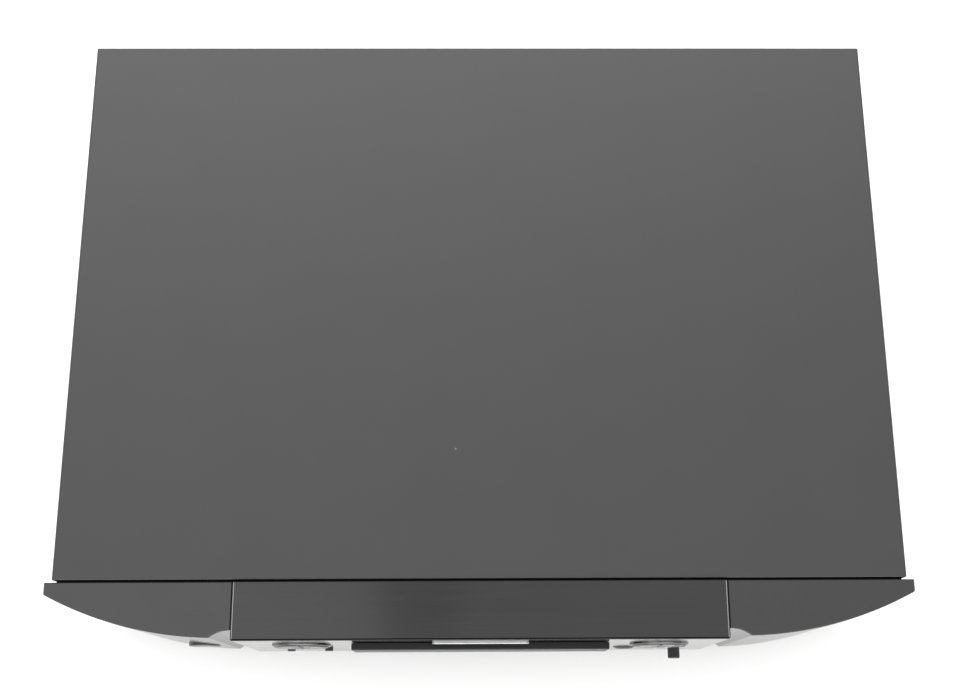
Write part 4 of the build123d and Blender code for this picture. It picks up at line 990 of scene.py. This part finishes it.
def contact(working, x, z):
    tube_wall = [(-0.28, 6.0), (0.0, 6.0), (0.0, 9.35), (-0.08, 9.5), (-0.2, 9.5), (-0.28, 9.4)]
    swept(working, round_loop(1.58, 20), tube_wall, on_rear(x * MM, panel_face, z * MM))


def disc(working, x, z):
    face = [(-0.55, 8.98), (0.6, 8.98), (0.6, 9.08), (0.4, 9.2), (-0.45, 9.2), (-0.55, 9.1)]
    swept(working, round_loop(2.4, 28), face, on_rear(x * MM, panel_face, z * MM))


for name, (x, z, colour) in sockets.items():
    made_of = (("collar", collar, colour), ("contact", contact, "brass"), ("disc", disc, "ring_white"))
    for part, recipe, finish in made_of:
        mesh = mesh_of(lambda working, recipe=recipe, x=x, z=z: recipe(working, x, z))
        piece(f"socket_{part}_{name}", mesh, finish)


def printed_frames(working):
    for x, z, width, height in ((165, 63, 30, 52), (120, 63, 30, 52), (80, 63, 30, 52), (-168, 50, 46, 40)):
        line = [(-0.2, -0.01), (0.2, -0.01), (0.2, 0.03), (-0.2, 0.03)]
        swept(working, soft_loop(width, height, 3.0), line, on_rear(x * MM, panel_face, z * MM))


def inlet_pins(working):
    inlet = middle("mains_inlet")
    for across in (-5.5, 5.5):
        face = on_rear(inlet.x + across * MM, panel_face, inlet.z)
        swept(working, soft_loop(2.1, 4.1, 0.7), [(-0.12, -12.9), (0.1, -12.9), (0.1, -1.3), (-0.25, -0.85)], face)
        plate(working, [point for point, outward in soft_loop(1.75, 3.75, 0.6)], face, -1.1, -0.9)


piece("rear_printed_frames", mesh_of(printed_frames), "print_white")
piece("inlet_contact_pins", mesh_of(inlet_pins), "bright_metal")
print("sockets", len(sockets))

# %% [markdown]
# ## Inside the USB socket
# A plastic tongue carries four gold-plated contact strips. The tongue is a thin lining swept round the carrier of the
# solid model, and the strips are one plate set four times by the rows tree.

# %% USB tongue and contacts


def usb_contact(working):
    outline = [(-0.5, 0.35), (-0.3, 0), (0.3, 0), (0.5, 0.35), (0.5, 7.0), (-0.5, 7.0)]
    plate(working, outline, on_base(0, 0, 0), -0.01, 0.09)


def usb_tongue(working):
    """The lining round the tongue that carries the contacts."""
    swept(working, soft_loop(10.5, 1.8, 0.4), [(0, -12), (0.08, -12), (0.08, -1.7), (-0.2, -1.5)], tongue_face)
    plate(working, [point for point, outward in soft_loop(10.2, 1.5, 0.3)], tongue_face, -1.62, -1.5)


tongue_face = on_front(usb.x, fascia_front, usb.z + 1.15 * MM)
four = {"Count": 4, "Step": (2.33 * MM, 0, 0), "Rows": 1, "Row Step": (0, 0, 0)}
contacts = laid_out(rows_of_shapes, mesh_of(usb_contact), "brass", four)
start = (usb.x - 3.5 * MM, fascia_front + 2.0 * MM, usb.z + 0.2 * MM)
piece("usb_contacts", moved(contacts, start), "brass")
piece("usb_tongue", mesh_of(usb_tongue), "black_plastic")
print("contacts", 4)

# %% [markdown]
# ## Inside
# Through the open drawer slot and the vents one sees parts of the inside. The boards carry many small soldered parts.
# They are scattered with a fixed seed, because their places follow no rule that one would notice.

# %% Small parts of the boards


def small_part(length, width, height):
    """A small soldered part: a body with softened upper edges."""

    def recipe(working):
        body = [(-0.15, 0.0), (0.0, 0.0), (0.0, height - 0.15), (-0.15, height)]
        swept(working, soft_loop(length, width, 0.2, 1), body, on_top(0, 0, 0))
        lid = [point for point, outward in soft_loop(length - 0.3, width - 0.3, 0.1, 1)]
        plate(working, lid, on_top(0, 0, 0), 0, height)

    return mesh_of(recipe)


def board_top(node, inset=0.006):
    """A face over a board's upper side, a little smaller than the board."""
    low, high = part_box(node)
    corners = [(low.x + inset, low.y + inset), (high.x - inset, low.y + inset)]
    corners += [(high.x - inset, high.y - inset), (low.x + inset, high.y - inset)]
    face = bpy.data.meshes.new("board_top")
    face.from_pydata([(x, y, BOARD_TOP) for x, y in corners], [], [(0, 1, 2, 3)])
    return face


BOARD_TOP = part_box("main_board")[0].z + 1.6 * MM
parts_of = {"chips": (3.2, 1.6, 0.9, "black_plastic", 2600), "resistors": (2.0, 1.25, 0.6, "cable_white", 4200)}
for number, node in enumerate(("main_board", "power_board")):
    for kind, (length, width, height, finish, density) in parts_of.items():
        sizes = {"Density": float(density), "Seed": 11 + 7 * number + len(kind)}
        spread = laid_out(scattered_shapes, small_part(length, width, height), finish, sizes, board_top(node))
        made = piece(f"{node}_{kind}", spread, finish)
        print(made.name, len(made.data.polygons), "faces")

# %% [markdown]
# ## Choke and drawer dots
# The choke beside the capacitors is a ring core with enamelled copper wire: one turn of wire is a small closed sweep,
# and the ring tree sets thirty of them. Six rubber dots in the drawer keep the disc off the plastic.

# %% Choke and drawer dots
CHOKE_X, CHOKE_Y = -125 * MM, -14 * MM
CHOKE_TURNS, CHOKE_RADIUS = 30, 7.5  # radius in mm


def winding(working):
    """One turn of enamelled wire round the choke's core, standing out along +X."""
    wire = [(0.4 * cos(pi / 3 * side), 0.4 * sin(pi / 3 * side)) for side in range(6)]
    swept(working, soft_loop(6.0, 8.0, 1.6, 3), wire, lambda across, up, out: (across * MM, out * MM, up * MM))


def drawer_dot(working):
    rise = [(-1.2, -0.05), (0.0, -0.05), (0.0, 0.1), (-0.3, 0.22), (-1.2, 0.26)]
    swept(working, round_loop(1.4, 16), rise, on_top(0, 0, 0))
    plate(working, [point for point, outward in round_loop(0.24, 16)], on_top(0, 0, 0), -0.05, 0.26)


turning = {"Count": CHOKE_TURNS, "Radius": CHOKE_RADIUS * MM}
turns = laid_out(ring_of_shapes, mesh_of(winding), "copper", turning)
piece("choke_winding", moved(turns, (CHOKE_X, CHOKE_Y, BOARD_TOP + 4.6 * MM)), "copper")
core = [(-2.4, 1.4), (2.4, 1.4), (2.6, 1.8), (2.6, 7.4), (2.4, 7.8), (-2.4, 7.8), (-2.6, 7.4), (-2.6, 1.8)]
choke_face = on_top(CHOKE_X, CHOKE_Y, BOARD_TOP)
ring = mesh_of(lambda working: swept(working, round_loop(CHOKE_RADIUS, 40), core, choke_face))
piece("choke_core", ring, "sleeve_black")
spindle = middle("turntable")
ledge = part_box("disc_tray")[1].z - 4.6 * MM  # the drawer's disc ledge lies this far under its top
dots = laid_out(ring_of_shapes, mesh_of(drawer_dot), "rubber", {"Count": 6, "Radius": 56 * MM})
piece("drawer_dots", moved(dots, (spindle.x, spindle.y, ledge)), "rubber", "tray")
print("choke turns", CHOKE_TURNS, "drawer ledge at", round(ledge, 4))

# %% [markdown]
# ## Sizes kept
# Both boxes, of the solids and of the dressed player, are kept in a table, and how much the player grew is printed.
# The looks may not change the size of the player.

# %% Sizes and the end
visual_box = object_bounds()
sizes = {"cad": [list(corner) for corner in cad_box], "visual": [list(corner) for corner in visual_box]}
print("grown by", [round(a - b, 6) for a, b in zip(visual_box[1] - visual_box[0], cad_box[1] - cad_box[0])])
